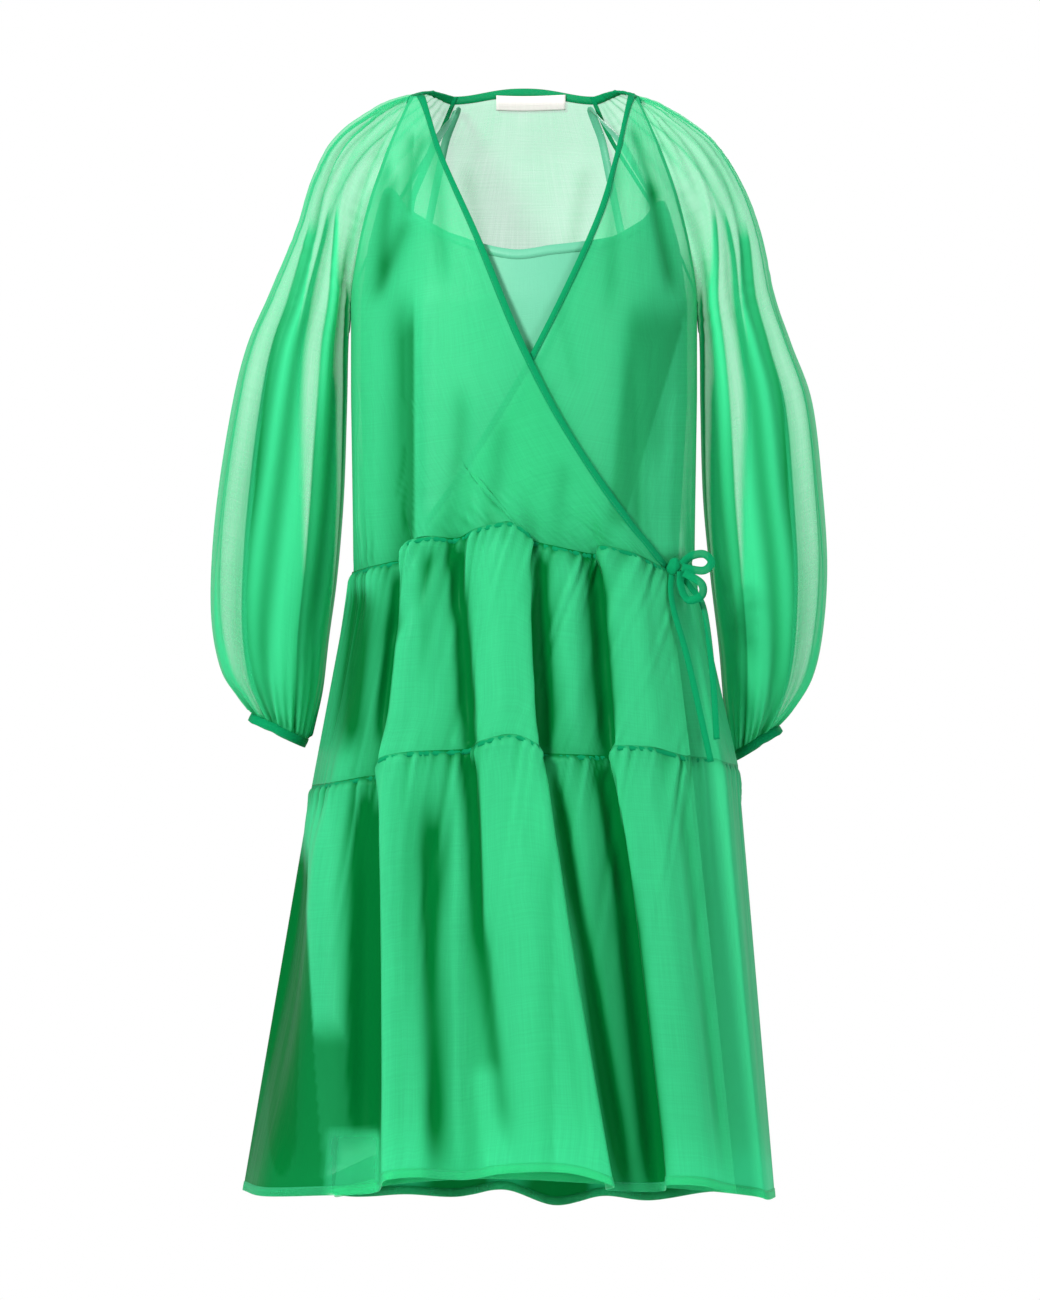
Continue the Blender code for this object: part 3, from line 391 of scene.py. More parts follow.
def shaded_beside(grid, bands):
    """Painted shade beside crisp fold edges: dark at the edge, soft toward the far side."""
    x, z = grid[..., 0], grid[..., 2]
    total = np.zeros(x.shape)
    for edge_top, edge_end, far_top, far_end, z_top, z_end, even, depth in zip(*bands.values()):
        fall = (z_top - z) / (z_top - z_end)
        edge = edge_top + (edge_end - edge_top) * fall
        wide = far_top + (far_end - far_top) * fall - edge
        inside = (x - edge) * np.sign(wide)
        across = np.clip(inside / np.abs(wide), 0.0, 1.0)
        spread = soft(inside / 0.004 + 0.5) * soft((1 - across) * (1 + 2 * even))
        total = np.maximum(total, depth * spread * soft(fall / 0.2) * soft((1.08 - fall) / 0.12))
    return total


def level_out(grid, turn):
    """The way out of the cloth at each point, kept level."""
    run = np.gradient(grid, axis=1)
    return unit(np.stack([-run[..., 1], run[..., 0], np.zeros(run.shape[:2])], axis=-1) * turn)


# The painted shade that darkens a hanging tier: a little all over, a wave this deep, its folds, and its
# gathers.
EVEN_SHADE = 0.30
DARK_WAVE = 0.0060
FOLD_SHADE = 0.42
GATHER_SHADE = 0.60
# How far a gathered tier stands out just below its seam.
TIER_PUFF = 0.0035


def tier_grid(folds, upper, lower, side, rows, seed, strength=1.0, creases=None):
    """A gathered tier's cloth: the panel's points, the way out of it, and the painted shade of its folds and
    gathers.
    """
    places = fold_places(folds, side, CLOTH_PITCH)
    top = curve_at(ring_points(folds, upper, side), places)
    bottom = curve_at(ring_points(folds, lower, side), places)
    down = (np.linspace(0, 1, rows) ** 1.15)[:, None, None]
    grid = top + (bottom - top) * down
    out = level_out(grid, side if folds["x_seam"][0] < folds["x_seam"][-1] else -side)
    along, below = lengths_along(grid, 1), lengths_along(grid, 0)
    width = along[:, -1:].mean()
    sides = soft(along / SEAM_EASE) * soft((along[:, -1:] - along) / SEAM_EASE)
    wave = gathered(along, below, strength, seed)
    if lower == SEAM:
        wave += gathered(along, below[-1:] - below, 0.25 * strength, seed + 2)
    wave += troughs(along / along[:, -1:], down[..., 0], width, strength)
    if creases is not None:
        wave += sunk_along(grid, creases) * soft(below / 0.03)
    # Painted shade: dark where the cloth sinks, by the rings' folds, a little all over, and most just under
    # the seam.
    painted_shade = -wave / DARK_WAVE
    for ring, share in ((upper, 1 - down[..., 0]), (lower, down[..., 0])):
        heights = folds["out_" + str(RINGS["ring"][ring])].astype(float)
        heights -= heights.mean()
        painted_shade = painted_shade - FOLD_SHADE * strength * share * curve_at(heights / np.abs(heights).max(), places)
    painted_shade = painted_shade + EVEN_SHADE + GATHER_SHADE * np.exp(-below / 0.007)
    wave += TIER_PUFF * strength * soft(below / 0.010) * np.exp(-below / 0.05)
    if lower == SEAM:
        wave *= soft((below[-1:] - below) / 0.004)
    grid = grid + out * (wave * sides)[..., None]
    return grid, out, np.clip(painted_shade, 0.0, 1.0)


# The painted shade of the broad folds of the right front's hem tier that have one crisp edge: the place
# across and the level of that edge and of the far side, in metres, how even the painted shade between them
# is, and how deep.
SKIRT_SHADES = table(
    "edge_top edge_end far_top far_end z_top z_end even depth",
    (-0.2230, -0.1920, -0.3000, -0.3200, -0.700, -1.120, 3, 0.95),
    (-0.1440, -0.1400, -0.1900, -0.2000, -0.740, -1.120, 0, 0.55),
    (-0.1400, -0.1400, -0.3200, -0.3200, -0.900, -1.120, 6, 0.85),
    (-0.0580, -0.0560, -0.0950, -0.1050, -0.760, -1.120, 0, 0.25),
    (0.0290, 0.0290, 0.0060, -0.0060, -0.700, -1.120, 0, 0.35),
)
# The paler rectangle low in the first fold, where the skirt hangs a single cloth deep.
PALE_RIGHT = -0.196
PALE_LEFT = -0.139
PALE_TOP = -1.018


def one_deep(grid):
    """0 where the skirt hangs a single cloth deep, and 1 elsewhere."""
    x, z = grid[..., 0], grid[..., 2]
    across = soft((x - PALE_RIGHT) / 0.010) * soft((PALE_LEFT - x) / 0.006)
    return 1.0 - across * soft((PALE_TOP - z) / 0.016)


def dressed(piece, node=None):
    """Puts a piece on the dress, in the place of its solid where it has one."""
    if node is not None:
        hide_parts(node)
    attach(piece, "root")


def clothed(piece, node):
    """Puts a sheet in the place of its solid."""
    dressed(piece, node)


over_waist_grid, over_waist_out, painted_shading = tier_grid(
    OVER_FOLDS, WAIST, SEAM, FRONT, rows=64, seed=0.4, creases=FRONT_CREASES
)
over_waist = lay_cloth("waist_tier_over_cloth", over_waist_grid, ORGANZA, painted_shading, 1.0)
over_hem_grid, over_hem_out, painted_shading = tier_grid(
    OVER_FOLDS, SEAM, HEM, FRONT, rows=104, seed=1.7, creases=FRONT_CREASES
)
over_deep = one_deep(over_hem_grid)
painted_shading = np.maximum(painted_shading, shaded_beside(over_hem_grid, SKIRT_SHADES)) * over_deep
over_hem = lay_cloth("hem_tier_over_cloth", over_hem_grid, ORGANZA, painted_shading, over_deep)
clothed(over_waist, "waist_tier_front_over")
clothed(over_hem, "hem_tier_front_over")

# ---------------------------------------------------------------------------------------------
# The front panels of both tiers on the wearer's left, which lie under the others: straight
# lengths of organza, gathered onto the seams above. They reach round behind the right panels
# and hang flatter, between those and the slip.
# ---------------------------------------------------------------------------------------------

UNDER_FOLDS = table(
    "fold x_waist x_seam x_hem out_waist out_seam out_hem rise",
    ("side seam", 168, 214, 251, 0, 0, 0, 0),
    ("side face", 160, 199, 241, 0, 2, 5, 0),
    ("turn under", 148, 182, 226, -7, -8, -8, 0),
    ("third hollow", 105, 124, 168, -17, -20, -29, 0),
    ("recess", 42, 50, 84, -17, -21, -31, 6),
    ("middle", -25, -30, -30, -17, -21, -30, 12),
    ("first hollow", -95, -112, -125, -19, -29, -32, 10),
    ("bound edge", -126, -150, -178, -18, -28, -24, 0),
    ("free edge", -134, -158, -186, -17, -22, -22, 0),
)
# The under panels' folds get fainter painted shade, as they look fainter from outside, and their cloth lies
# closer.
UNDER_SHADE = 0.7
UNDER_COVER = 1.7
under_waist_grid, under_waist_out, painted_shading = tier_grid(
    UNDER_FOLDS, WAIST, SEAM, FRONT, rows=56, seed=3.1, strength=0.5
)
under_waist = lay_cloth("waist_tier_under_cloth", under_waist_grid, ORGANZA, UNDER_SHADE * painted_shading, 1.0)
under_hem_grid, under_hem_out, painted_shading = tier_grid(
    UNDER_FOLDS, SEAM, HEM, FRONT, rows=90, seed=4.2, strength=0.5
)
under_deep = one_deep(under_hem_grid)
under_hem = lay_cloth(
    "hem_tier_under_cloth", under_hem_grid, ORGANZA, UNDER_SHADE * painted_shading * under_deep, UNDER_COVER * under_deep
)
clothed(under_waist, "waist_tier_front_under")
clothed(under_hem, "hem_tier_front_under")

# ---------------------------------------------------------------------------------------------
# The back panels of both tiers: wider lengths of the same organza, gathered onto the seams above
# and sewn to the front panels at the side seams, in five broad folds.
# ---------------------------------------------------------------------------------------------

BACK_FOLDS = table(
    "fold x_waist x_seam x_hem out_waist out_seam out_hem rise",
    ("right side seam", -172, -212, -281, 0, 0, 0, 0),
    ("right side face", -164, -202, -267, 1, 2, 3, 0),
    ("first fold", -146, -178, -228, 3, 6, 10, 2),
    ("first hollow", -116, -140, -178, -4, -8, -13, 0),
    ("second fold", -84, -102, -122, 5, 10, 14, 5),
    ("second hollow", -48, -56, -70, -5, -9, -13, 8),
    ("third fold", -12, -14, -20, 6, 11, 15, 14),
    ("third hollow", 26, 30, 32, -5, -9, -14, 0),
    ("fourth fold", 62, 74, 82, 5, 10, 14, 5),
    ("fourth hollow", 96, 115, 130, -4, -8, -13, 0),
    ("fifth fold", 132, 162, 190, 4, 7, 11, 2),
    ("left side face", 158, 200, 236, 1, 2, 3, 0),
    ("left side seam", 168, 214, 251, 0, 0, 0, 0),
)
BACK_CREASES = table(
    "from_x from_z to_x to_z width height",
    (-0.1350, -0.490, -0.1700, -0.680, 7, -4.0),
    (-0.1000, -0.500, -0.1160, -0.700, 8, 2.5),
    (-0.0700, -0.495, -0.0740, -0.690, 6, -5.0),
    (-0.0300, -0.490, -0.0360, -0.700, 7, -3.0),
    (0.0100, -0.495, 0.0120, -0.690, 7, -5.0),
    (0.0450, -0.490, 0.0500, -0.660, 8, 2.5),
    (0.0800, -0.500, 0.0900, -0.700, 6, -4.5),
    (0.1200, -0.490, 0.1440, -0.690, 7, -4.0),
    (-0.2040, -0.720, -0.2300, -1.100, 8, -4.0),
    (-0.1560, -0.710, -0.1940, -1.060, 9, 3.5),
    (-0.1100, -0.710, -0.1500, -1.110, 7, -5.5),
    (-0.0780, -0.700, -0.0980, -1.040, 8, 3.0),
    (-0.0420, -0.710, -0.0480, -1.110, 7, -6.0),
    (0.0100, -0.705, 0.0000, -1.060, 9, 3.0),
    (0.0420, -0.700, 0.0600, -1.110, 7, -5.0),
    (0.1000, -0.710, 0.1080, -1.090, 7, -5.0),
    (0.1400, -0.700, 0.1640, -1.080, 8, 3.5),
    (0.1820, -0.710, 0.2150, -1.100, 7, -4.5),
)
back_waist_grid, back_waist_out, painted_shading = tier_grid(
    BACK_FOLDS, WAIST, SEAM, BACK, rows=60, seed=5.3, creases=BACK_CREASES
)
back_waist = lay_cloth("waist_tier_back_cloth", back_waist_grid, ORGANZA, painted_shading, 1.0)
back_hem_grid, back_hem_out, painted_shading = tier_grid(
    BACK_FOLDS, SEAM, HEM, BACK, rows=96, seed=6.6, creases=BACK_CREASES
)
# The back's hem is turned up deeper, so its cloth lies closer there, and painted shade darkens it too.
TURN_UP = 0.045
from_top = lengths_along(back_hem_grid, 0)
turn_up_cover_and_shade = 0.7 * np.exp(-(((from_top[-1:] - from_top) / TURN_UP) ** 2))
painted_shading = np.clip(painted_shading + turn_up_cover_and_shade, 0.0, 1.0)
back_hem = lay_cloth("hem_tier_back_cloth", back_hem_grid, ORGANZA, painted_shading, 1.0 + turn_up_cover_and_shade)
clothed(back_waist, "waist_tier_back")
clothed(back_hem, "hem_tier_back")

# ---------------------------------------------------------------------------------------------
# The bodice: two wrapped fronts and a back of organza, shaped over a general figure and cut to
# raglan seams. The cloth is smooth over the chest and picks up the skirt's folds above the waist.
# ---------------------------------------------------------------------------------------------

UNDERARM_LEVEL = -0.205
# The body's form under the cloth, level by level.
FORM = table(
    "level half_width front_depth back_depth",
    (-0.480, 0.1700, 0.138, 0.125),
    (-0.300, 0.1730, 0.134, 0.121),
    (-0.205, 0.1730, 0.126, 0.120),
    (-0.150, 0.1710, 0.115, 0.119),
    (-0.100, 0.1650, 0.095, 0.113),
    (-0.050, 0.1500, 0.062, 0.100),
    (0.000, 0.1200, 0.020, 0.075),
    (0.020, 0.1150, 0.010, 0.073),
)
# The raglan seams on the wearer's left, from the neck to the underarm. The right ones mirror them.
RAGLAN = table(
    "front_x front_z back_x back_z",
    (0.1140, 0.000, 0.0710, 0.006),
    (0.1170, -0.008, 0.0750, -0.003),
    (0.1280, -0.034, 0.0900, -0.035),
    (0.1445, -0.077, 0.1180, -0.080),
    (0.1575, -0.120, 0.1450, -0.125),
    (0.1670, -0.163, 0.1640, -0.168),
    (0.1730, -0.205, 0.1730, -0.205),
)
# The bound edges of the two fronts, from the neck to above the waist.
WRAP_EDGES = table(
    "over_x over_z under_x under_z",
    (-0.0990, 0.000, 0.1040, 0.000),
    (-0.0800, -0.063, 0.0880, -0.070),
    (-0.0430, -0.148, 0.0660, -0.138),
    (-0.0040, -0.243, 0.0130, -0.250),
    (0.0360, -0.323, -0.0360, -0.335),
    (0.0850, -0.398, -0.0860, -0.410),
)
# Points down the side seam below the underarm, and steps of cloth between points of a seam.
SIDE_ROWS = 4
FINER = 6
# The level from which the bodice follows the skirt's folds down to the waist seam, and the last share of
# the way, in which its cloth meets them.
FOLDS_START = -0.35
LAST_SHARE = 0.50


def form_half_width(level):
    return np.interp(level, FORM["level"], FORM["half_width"])


def form_turn(x, level):
    """The angle on the form, from -90 degrees at the right side to 90 at the left side."""
    share = np.clip(x / form_half_width(level), -1.0, 1.0)
    return np.arcsin(np.sign(share) * np.abs(share) ** (OVAL / 2))


def form_point(turn, level, side):
    """A point of the form, at the FRONT or the BACK."""
    depth = np.interp(level, FORM["level"], FORM["front_depth" if side < 0 else "back_depth"])
    x = form_half_width(level) * np.sign(turn) * np.abs(np.sin(turn)) ** (2 / OVAL)
    y = side * depth * np.abs(np.cos(turn)) ** (2 / OVAL)
    return np.stack([x, y, level + 0.0 * turn], axis=-1)


def finer(grid, row_steps, column_steps):
    """The same cloth with more points, on smooth curves through the first ones."""
    places = np.linspace(0, grid.shape[0] - 1, (grid.shape[0] - 1) * row_steps + 1)
    grid = curve_at(grid, places)
    if column_steps == 1:
        return grid
    places = np.linspace(0, grid.shape[1] - 1, (grid.shape[1] - 1) * column_steps + 1)
    return curve_at(grid.swapaxes(0, 1), places).swapaxes(0, 1)


def waist_evenly(folds, side):
    """The waist ring at even turns of the form, for the bodice to meet."""
    ring = curve_at(ring_points(folds, WAIST, side), fold_places(folds, side, CLOTH_PITCH))
    turns = form_turn(ring[:, 0], ring[0, 2])
    share = np.maximum.accumulate((turns - turns[0]) / (turns[-1] - turns[0]))
    even = np.linspace(0, 1, len(ring))
    return even, np.stack([np.interp(even, share, ring[:, axis]) for axis in range(3)], axis=-1)


def joined_to_waist(turn, level, waist, side, inset=0.0):
    """The form's points, led to the waist ring, whose folds fade out just above the seam."""
    depth = (FOLDS_START - level) / (FOLDS_START - waist[:, 2])
    level = level + (waist[:, 2] - level[-1]) * np.clip(depth, 0.0, 1.0) ** 1.2
    grid = form_point(turn, level, side)
    grid[..., 1] += inset
    order = np.argsort(waist[:, 0])
    reach = np.interp(grid[..., 0], waist[order, 0], (waist - grid[-1])[order, 1])
    seam_level = np.interp(grid[..., 0], waist[order, 0], waist[order, 2])
    depth = (FOLDS_START - grid[..., 2]) / (FOLDS_START - seam_level)
    grid[..., 1] += reach * soft((depth - 1 + LAST_SHARE) / LAST_SHARE) ** 1.5
    grid[-1] = waist
    return grid


def front_grid(folds, wearer_side, edge_x, edge_z, inset):
    """A wrapped front. Its first column is the raglan and side seam, its last the wrap edge."""
    share, waist = waist_evenly(folds, FRONT)
    side_levels = np.linspace(UNDERARM_LEVEL, waist[0, 2], SIDE_ROWS + 1)[1:]
    outer_z = np.concatenate([RAGLAN["front_z"], side_levels])
    outer_x = np.concatenate([RAGLAN["front_x"], form_half_width(side_levels)]) * wearer_side
    outer = finer(np.stack([outer_x, outer_z], axis=-1)[:, None], FINER, 1)[:, 0]
    edge = np.vstack([np.stack([edge_x, edge_z], axis=-1), [[waist[-1, 0], waist[-1, 2]]]])
    edge = curve_at(edge, np.linspace(0, len(edge) - 1, len(outer)))
    first = form_turn(outer[:, 0], outer[:, 1])[:, None]
    last = form_turn(edge[:, 0], edge[:, 1])[:, None]
    turn = first + (last - first) * share
    level = outer[:, 1:] + (edge[:, 1:] - outer[:, 1:]) * share
    lower = soft((-0.08 - level) / 0.08)
    return joined_to_waist(turn, level, waist, FRONT, inset * soft(share / 0.2) * lower)


# Shallow folds of the bodice's cloth: from one place across and level to another, in metres, and their
# half width and height in millimetres.
BODICE_FOLDS = table(
    "from_x from_z to_x to_z width height",
    (-0.121, -0.210, -0.119, -0.480, 14, -3.6),
    (-0.099, -0.200, -0.101, -0.470, 8, 3.5),
    (-0.116, -0.126, -0.150, -0.209, 10, -2.6),
    (-0.133, -0.070, -0.146, -0.191, 9, -2.6),
    (-0.100, -0.040, -0.124, -0.120, 6, -2.0),
    (-0.112, -0.030, -0.140, -0.100, 5, 1.5),
    (0.108, -0.030, 0.134, -0.110, 6, -2.0),
    (0.126, -0.090, 0.150, -0.200, 8, -3.0),
    (0.131, -0.203, 0.128, -0.373, 16, -1.6),
    (-0.060, -0.300, -0.070, -0.460, 9, -1.8),
    (-0.020, -0.330, -0.035, -0.450, 8, -1.5),
    (0.040, -0.370, 0.030, -0.460, 7, -1.5),
    (0.085, -0.410, 0.075, -0.470, 6, -1.3),
    (-0.090, -0.030, -0.080, -0.190, 8, -1.5),
    (0.108, -0.260, 0.112, -0.450, 9, -2.5),
    (0.092, -0.050, 0.085, -0.220, 8, -1.4),
    (0.150, -0.300, 0.140, -0.465, 7, 1.8),
)
BODICE_BACK_FOLDS = table(
    "from_x from_z to_x to_z width height",
    (-0.128, -0.140, -0.120, -0.380, 9, -2.2),
    (-0.090, -0.220, -0.098, -0.480, 8, -2.8),
    (-0.040, -0.300, -0.044, -0.490, 8, -2.2),
    (0.006, -0.340, 0.010, -0.490, 7, -1.8),
    (0.050, -0.280, 0.058, -0.490, 8, -2.5),
    (0.100, -0.200, 0.104, -0.470, 9, -2.8),
    (0.134, -0.150, 0.128, -0.360, 8, -2.0),
    (-0.060, -0.060, -0.040, -0.170, 9, -1.3),
    (0.064, -0.060, 0.046, -0.160, 9, -1.3),
)

# Painted shade of broad folds of the fronts with one crisp edge, in the same columns as those of the skirt.
BODICE_SHADES = table(
    "edge_top edge_end far_top far_end z_top z_end even depth",
    (-0.1080, -0.1070, -0.1500, -0.1650, -0.190, -0.470, 0, 0.85),
    (-0.1080, -0.1110, -0.1250, -0.1400, -0.030, -0.125, 0, 0.50),
    (0.1700, 0.0980, 0.0900, 0.0780, -0.190, -0.430, 1, 0.62),
    (0.0250, 0.0450, 0.0550, 0.0650, -0.200, -0.290, 0, 0.30),
)


def creased(grid, out, folds, seed, strength):
    """Soft folds on the bodice, with small gathers above the waist seam, and painted shade in the creases
    and just above the seam.
    """
    along, below = lengths_along(grid, 1), lengths_along(grid, 0)
    sides = soft(along / SEAM_EASE) * soft((along[:, -1:] - along) / SEAM_EASE)
    wave = sunk_along(grid, folds) + gathered(along, below[-1:] - below, strength, seed) * sides
    # Painted shade: dark where the creases sink, and more just above the waist seam.
    painted_shade = np.clip(0.10 - wave / 0.0050 + 0.3 * np.exp((below - below[-1:]) / 0.02), 0.0, 1.0)
    return grid + out * wave[..., None], painted_shade


def bodice_back_grid():
    """The back, from one raglan and side seam to the other."""
    share, waist = waist_evenly(BACK_FOLDS, BACK)
    right_levels = np.linspace(UNDERARM_LEVEL, waist[0, 2], SIDE_ROWS + 1)[1:]
    left_levels = np.linspace(UNDERARM_LEVEL, waist[-1, 2], SIDE_ROWS + 1)[1:]
    right = np.concatenate([RAGLAN["back_z"], right_levels])
    left = np.concatenate([RAGLAN["back_z"], left_levels])
    half = np.concatenate([RAGLAN["back_x"], form_half_width(right_levels)])
    ends = finer(np.stack([half, right, left], axis=-1)[:, None], FINER, 1)[:, 0]
    row = np.linspace(0, len(half) - 1, len(ends))[:, None]
    half, right, left = (ends[:, k : k + 1] for k in range(3))
    rise = 0.009 * np.maximum(0.0, 1 - row / 4) * np.cos(np.pi * (share - 0.5)) ** 2
    level = right + (left - right) * share + rise
    return joined_to_waist(form_turn(half, right) * (2 * share - 1), level, waist, BACK)


def front_cloth(folds, which, wearer_side, inset, seed, strength):
    """A wrapped front's points, the way out of it, and its painted shade in folds and creases."""
    grid = front_grid(folds, wearer_side, WRAP_EDGES[which + "_x"], WRAP_EDGES[which + "_z"], inset)
    out = -faces_out(grid, -wearer_side)
    grid, painted_shade = creased(grid, out, BODICE_FOLDS, seed, strength)
    return grid, out, np.maximum(painted_shade, shaded_beside(grid, BODICE_SHADES))


over_front_grid, over_front_out, painted_shading = front_cloth(OVER_FOLDS, "over", -1, 0.0, 7.7, 0.45)
bodice_over = lay_cloth("bodice_over_cloth", over_front_grid, ORGANZA, painted_shading, 0.80)
under_front_grid, under_front_out, painted_shading = front_cloth(UNDER_FOLDS, "under", 1, 0.0055, 8.8, 0.3)
bodice_under = lay_cloth("bodice_under_cloth", under_front_grid, ORGANZA, painted_shading, 0.65)
back_grid = bodice_back_grid()
back_out = -faces_out(back_grid, -1)
back_grid, painted_shading = creased(back_grid, back_out, BODICE_BACK_FOLDS, 9.9, 0.6)
bodice_back = lay_cloth("bodice_back_cloth", back_grid, ORGANZA, painted_shading)
clothed(bodice_over, "bodice_front_over")
clothed(bodice_under, "bodice_front_under")
clothed(bodice_back, "bodice_back")

# ---------------------------------------------------------------------------------------------
# The raglan balloon sleeves: one width of organza each, gathered at the neck and raglan seams
# and again into a narrow bound cuff, so that it fills out in long loose folds.
# ---------------------------------------------------------------------------------------------

# Points round a sleeve in the tables below, and steps of cloth between them both ways.
SLEEVE_COLUMNS = 28
SLEEVE_FINER = 9
SLEEVE_HEAD = table(
    "right_tip_x left_tip_x tip_y tip_z fullness roundness",
    (-0.0940, 0.0940, 0.028, 0.008, 0.000, 1.0),
    (-0.1060, 0.1040, 0.026, 0.005, 0.000, 1.0),
    (-0.1420, 0.1390, 0.018, -0.008, 0.002, 1.0),
    (-0.1870, 0.1860, 0.016, -0.040, 0.006, 1.0),
    (-0.2120, 0.2170, 0.016, -0.082, 0.014, 1.1),
    (-0.2300, 0.2380, 0.016, -0.135, 0.027, 1.5),
    (-0.2570, 0.2520, 0.016, -0.198, 0.046, 2.0),
)
RIGHT_SLEEVE = table(
    "in_x in_z out_x out_z middle_y half_depth",
    (-0.1760, -0.250, -0.2780, -0.247, 0.016, 0.058),
    (-0.1775, -0.310, -0.2930, -0.305, 0.022, 0.066),
    (-0.1810, -0.400, -0.3080, -0.395, 0.032, 0.073),
    (-0.1880, -0.480, -0.3150, -0.470, 0.042, 0.078),
    (-0.1965, -0.540, -0.3145, -0.528, 0.050, 0.076),
    (-0.2030, -0.590, -0.3050, -0.573, 0.055, 0.068),
    (-0.2110, -0.622, -0.2890, -0.598, 0.058, 0.050),
    (-0.2180, -0.643, -0.2740, -0.616, 0.060, 0.031),
)
LEFT_SLEEVE = table(
    "in_x in_z out_x out_z middle_y half_depth",
    (0.1760, -0.250, 0.2690, -0.247, 0.016, 0.058),
    (0.1770, -0.310, 0.2900, -0.305, 0.024, 0.066),
    (0.1800, -0.400, 0.3010, -0.395, 0.036, 0.073),
    (0.1880, -0.480, 0.3060, -0.470, 0.050, 0.078),
    (0.1970, -0.550, 0.3020, -0.535, 0.064, 0.076),
    (0.2020, -0.600, 0.2920, -0.580, 0.074, 0.068),
    (0.2070, -0.635, 0.2740, -0.610, 0.080, 0.050),
    (0.2110, -0.657, 0.2570, -0.628, 0.084, 0.031),
)
# Long folds down a sleeve: their place round it, how far they drift, where down it they start and end, and
# their half width, all as shares of the sleeve, and their height in millimetres.
SLEEVE_FOLDS = table(
    "place drift top bottom width height",
    (0.06, 0.06, 0.10, 0.95, 0.030, -4.0),
    (0.13, 0.04, 0.02, 0.60, 0.022, 3.0),
    (0.20, 0.07, 0.20, 1.05, 0.026, -5.0),
    (0.29, 0.03, 0.00, 0.80, 0.024, -3.5),
    (0.35, 0.06, 0.30, 1.05, 0.030, 4.0),
    (0.43, 0.02, 0.05, 0.90, 0.022, -3.5),
    (0.50, 0.05, 0.35, 1.05, 0.026, -5.0),
    (0.58, 0.03, 0.00, 0.70, 0.024, 3.0),
    (0.66, -0.04, 0.20, 1.05, 0.030, -4.5),
    (0.74, -0.02, 0.05, 0.90, 0.022, -3.0),
    (0.82, -0.06, 0.25, 1.05, 0.026, 3.5),
    (0.90, -0.03, 0.05, 0.95, 0.028, -4.0),
)


# Long bands where a sleeve's fullness lies folded on itself: from a crisp fold (its place round the
# sleeve at the band's top and at the cuff) to a soft far side, and how far down the band starts.
SLEEVE_BANDS = table(
    "fold_top fold_end far_top far_end start",
    (0.335, 0.300, 0.290, 0.100, 0.25),
    (0.175, 0.160, 0.150, 0.020, 0.20),
    (0.450, 0.415, 0.440, 0.360, 0.60),
    (0.060, 0.030, 0.050, -0.050, 0.30),
    (0.640, 0.660, 0.650, 0.780, 0.38),
    (0.720, 0.760, 0.735, 0.850, 0.22),
    (0.880, 0.910, 0.895, 0.960, 0.45),
)


def folded_bands(share, down):
    """How doubled the sleeve's cloth is at each point, and the painted shade beside each crisp fold."""
    doubled, shade = np.zeros(np.broadcast(share, down).shape), 0.0
    for fold_top, fold_end, far_top, far_end, start in zip(*SLEEVE_BANDS.values()):
        fall = np.clip((down - start) / (1 - start), 0.0, 1.0)
        fold = fold_top + (fold_end - fold_top) * fall
        wide = far_top + (far_end - far_top) * fall - fold
        inside = ((share - fold + 0.5) % 1.0 - 0.5) * np.sign(wide)
        begins = soft((down - start) / 0.05)
        spread = soft(inside / 0.006) * soft((np.abs(wide) - inside) / 0.030 + 0.5) * begins
        doubled = np.maximum(doubled, 1.7 * spread)
        shade = shade + soft((inside + 0.004) / 0.006) * np.exp(-np.abs(inside) / 0.014) * begins
    return doubled, shade


def sleeve_row(first, last, tip, fullness, roundness):
    """An arc from one point over the tip to another, or a loop where the two points are one."""
    share = np.linspace(0, 1, SLEEVE_COLUMNS + 1)[:, None]
    rise = (tip - (first + last) / 2) * np.sin(np.pi * share) ** roundness
    forward = np.array([0.0, -fullness, 0.0]) * np.sin(2 * np.pi * share)
    return first + (last - first) * share + rise + forward


def raglan_points(which, wearer_side):
    x, z = wearer_side * RAGLAN[which + "_x"], RAGLAN[which + "_z"]
    return form_point(form_turn(x, z), z, FRONT if which == "front" else BACK)


# How much of their height in the table a sleeve's long folds have, how high the waves are that gathering
# leaves at its head and its cuff, and how deep a wave is that gets full painted shade.
FOLD_HEIGHT = 1.2
HEAD_WAVE = 0.0015
CUFF_WAVE = 0.0016
DARK_SLEEVE_WAVE = 0.010


